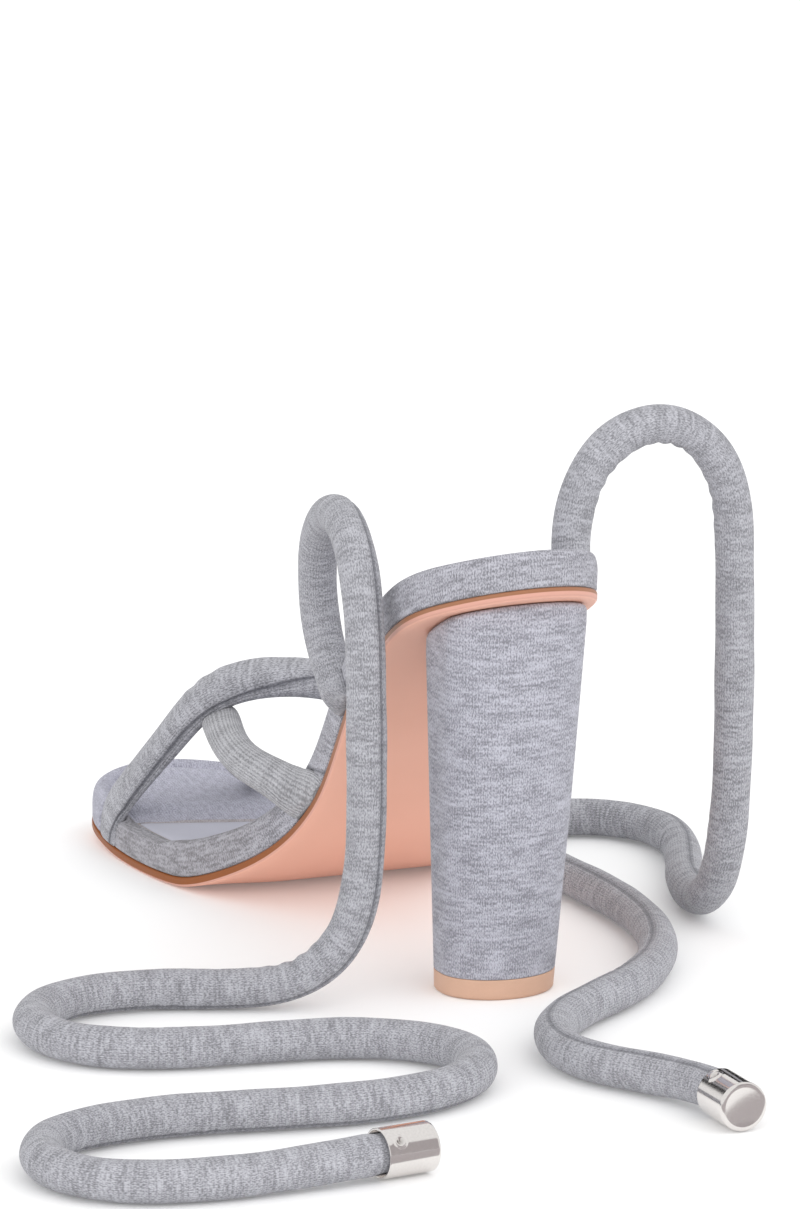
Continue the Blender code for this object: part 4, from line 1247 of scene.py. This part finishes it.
def grained(name, specular, grain, cloud, colours, rough, bump):
    """A colour between two by cloud and grain, each a noise of (scale, detail, share), and
    a roughness of (least, span) and a bump by the grain alone."""
    finish, wire, shader = new_finish(name, Specular_IOR_Level=specular)
    place = wire.node("ShaderNodeTexCoord", {}, {}, 3)
    fine, soft = place.noise(*grain[:2]), place.noise(*cloud[:2])
    colour = ((soft - 0.5) * cloud[2] + (fine - 0.5) * grain[2] + 0.5).blend(*colours)
    feed(shader, Base_Color=colour, Roughness=fine * rough[1] + rough[0],
         Normal=fine.bump(bump, GRAIN_DEPTH))
    return finish, shader, place, colour


sock_lining, *_ = grained(
    "sock_lining", 0.3, (2600.0, 2.0, 0.7), (90.0, 2.0, 0.5),
    ((0.455, 0.455, 0.52, 1), (0.555, 0.555, 0.635, 1)), (0.5, 0.2), 0.25)
dress(sock_lining, insole_sock)
moulded_tip, *_ = grained(
    "moulded_tip", 0.3, (1500.0, 2.0, 0.4), (120.0, 2.0, 0.8),
    ((0.55, 0.34, 0.24, 1), (0.645, 0.415, 0.305, 1)), (0.4, 0.2), 0.15)
dress(moulded_tip, heel_tip)
print("sock and tip are", sock_lining.name, "and", moulded_tip.name)

# %% Peach sole with a tan edge
RIM_PEACH_PAINTED_SHADE = (0.60, 0.32, 0.255, 1)
TAN_BEHIND, TAN_IN_FRONT = (0.305, 0.135, 0.07, 1), (0.245, 0.072, 0.014, 1)
PAINTED_FROM, PAINTED_MORE = 1.35, 0.75

peach_synthetic, shader, place, peach = grained(
    "peach_synthetic", 0.35, (1800.0, 3.0, 0.25), (45.0, 2.0, 0.6),
    ((0.785, 0.42, 0.31, 1), (0.875, 0.49, 0.375, 1)), (0.36, 0.15), 0.12)
forward, height = place.parts()[1], cloth_place(place).parts()[1]
# The sole's rounded edge below the tan is painted darker, which is painted shade.
rim = height.between(0.02, 0.35).blend(peach, RIM_PEACH_PAINTED_SHADE)
painted = PAINTED_FROM - forward.between(-0.115, -0.04) * PAINTED_MORE
tan = forward.between(-0.09, 0.03).blend(TAN_BEHIND, TAN_IN_FRONT)
feed(shader, Base_Color=(height - painted).between(-0.08, 0.08).blend(rim, tan))
dress(peach_synthetic, outsole)
print("the tan edge starts", PAINTED_FROM, "mm up at the heel")

# %% Polished metal
METAL_DULL, METAL_BRIGHT = (0.72, 0.69, 0.67, 1), (0.84, 0.81, 0.79, 1)
CRIMP_PAINTED_SHADE = (0.25, 0.23, 0.21, 1)

polished_metal, wire, shader = new_finish("polished_metal", Metallic=1.0)
scratch = cloth_place(wire).noise(1.7, 3.0)
bright = scratch.blend(METAL_DULL, METAL_BRIGHT)
# The crimp's dent is painted dark, which is painted shade.
feed(shader, Base_Color=(marks_of(wire)[0] * 0.6).blend(bright, CRIMP_PAINTED_SHADE),
     Roughness=scratch * 0.16 + 0.05)
dress(polished_metal, *(cap for _, cap in ties.values()))
print(len(bpy.data.materials), "materials")

# %% [markdown]
# ## Soft pieces
# The straps and the footbed are padded, and the ties are padded too. The ties are
# padded too, but are declared as cords.

# %% Padded pieces
print("padded:", toe_strap.name, ball_strap.name, footbed.name)

# %% [markdown]
# ## Floor and light
# A shoe on white paper is lit softly from all round, so that the paper turns white and
# only a thin shadow shows where the sole meets it. A wide floor of faintly glowing paper
# fills the picture, the sky is even, one very wide sun to the right of the camera gives
# the cloth a brighter side, and a low one fills the hollow under the arch. Polished metal
# would be lost in all that white, so two grey and two dark cards that only reflections
# can see draw bands along the caps, as in a studio.

# %% Floor and cards
FLOOR_WHITE, FLOOR_GLOW, FLOOR_HALF = (0.88, 0.88, 0.88, 1), 0.1, 20
CARD_GREY, CARD_DARK = 0.42, 0.02


def card(name, corners, colour, glow=0.0):
    """A flat sheet of four corners with a matt finish."""
    sheet = bpy.data.meshes.new(name)
    sheet.from_pydata(corners, [], [(0, 1, 2, 3)])
    made = bpy.data.objects.new(name, sheet)
    bpy.context.scene.collection.objects.link(made)
    finish, _, _ = new_finish(
        name + "_paper", Base_Color=colour, Roughness=0.9, Specular_IOR_Level=0.1,
        Emission_Color=colour, Emission_Strength=glow)
    dress(finish, made)
    return made


card("floor", [(-FLOOR_HALF, -FLOOR_HALF, 0), (FLOOR_HALF, -FLOOR_HALF, 0),
               (FLOOR_HALF, FLOOR_HALF, 0), (-FLOOR_HALF, FLOOR_HALF, 0)],
     FLOOR_WHITE, FLOOR_GLOW)
# Columns: name, tone, left and right x, then y and z of the lower and of the upper edge.
for name, tone, left_x, right_x, low_y, low_z, high_y, high_z in (
        ("card_behind", CARD_GREY, 0.3, 3.4, -3.0, 0.0, -2.4, 2.6),
        ("card_low", CARD_GREY, -0.6, 0.7, -0.9, 0.0006, -0.236, 0.0006),
        ("card_beyond", CARD_DARK, -1.5, 0.05, 3.0, 0.0, 3.0, 1.7),
        ("card_aside", CARD_DARK, 1.1, 2.8, 3.0, 0.0, 3.0, 2.2)):
    made = card(name, [(left_x, low_y, low_z), (right_x, low_y, low_z),
                       (right_x, high_y, high_z), (left_x, high_y, high_z)],
                (tone, tone * 0.93, tone * 0.95, 1))
    made.visible_camera = made.visible_diffuse = False
    made.visible_shadow = made.visible_transmission = False
    print(name, "is seen by reflections only")

# %% Light
SKY_STRENGTH = 0.95

world = bpy.data.worlds.new("even_sky")
world.use_nodes = True
world.node_tree.nodes["Background"].inputs["Color"].default_value = (1.0, 1.0, 1.0, 1.0)
world.node_tree.nodes["Background"].inputs["Strength"].default_value = SKY_STRENGTH
bpy.context.scene.world = world
bpy.context.scene.view_settings.view_transform = "Standard"


def wide_sun(name, facing, energy, angle):
    """A sun that shines from a direction over a wide angle, unseen by reflections: its own
    z axis is that direction."""
    sun = bpy.data.lights.new(name, "SUN")
    sun.energy, sun.angle = energy, np.radians(angle)
    lamp = bpy.data.objects.new(name, sun)
    lamp.matrix_world = turned_to(facing)
    lamp.visible_glossy = False
    bpy.context.scene.collection.objects.link(lamp)
    print(name, "stands", np.degrees(np.arcsin(unit(facing)[2])).round(1), "degrees up")


upright = np.array([0.0, 0.0, 1.0])
wide_sun("key_sun", back * 0.55 + right * 0.75 + upright * 0.5, 1.2, 80)
wide_sun("fill_sun", back * 0.7 - right * 0.42 - upright * 0.06, 1.5, 60)

# %% [markdown] ## The dressed shoe may stand a little
# proud of the solids where cloth is soft, and no more.
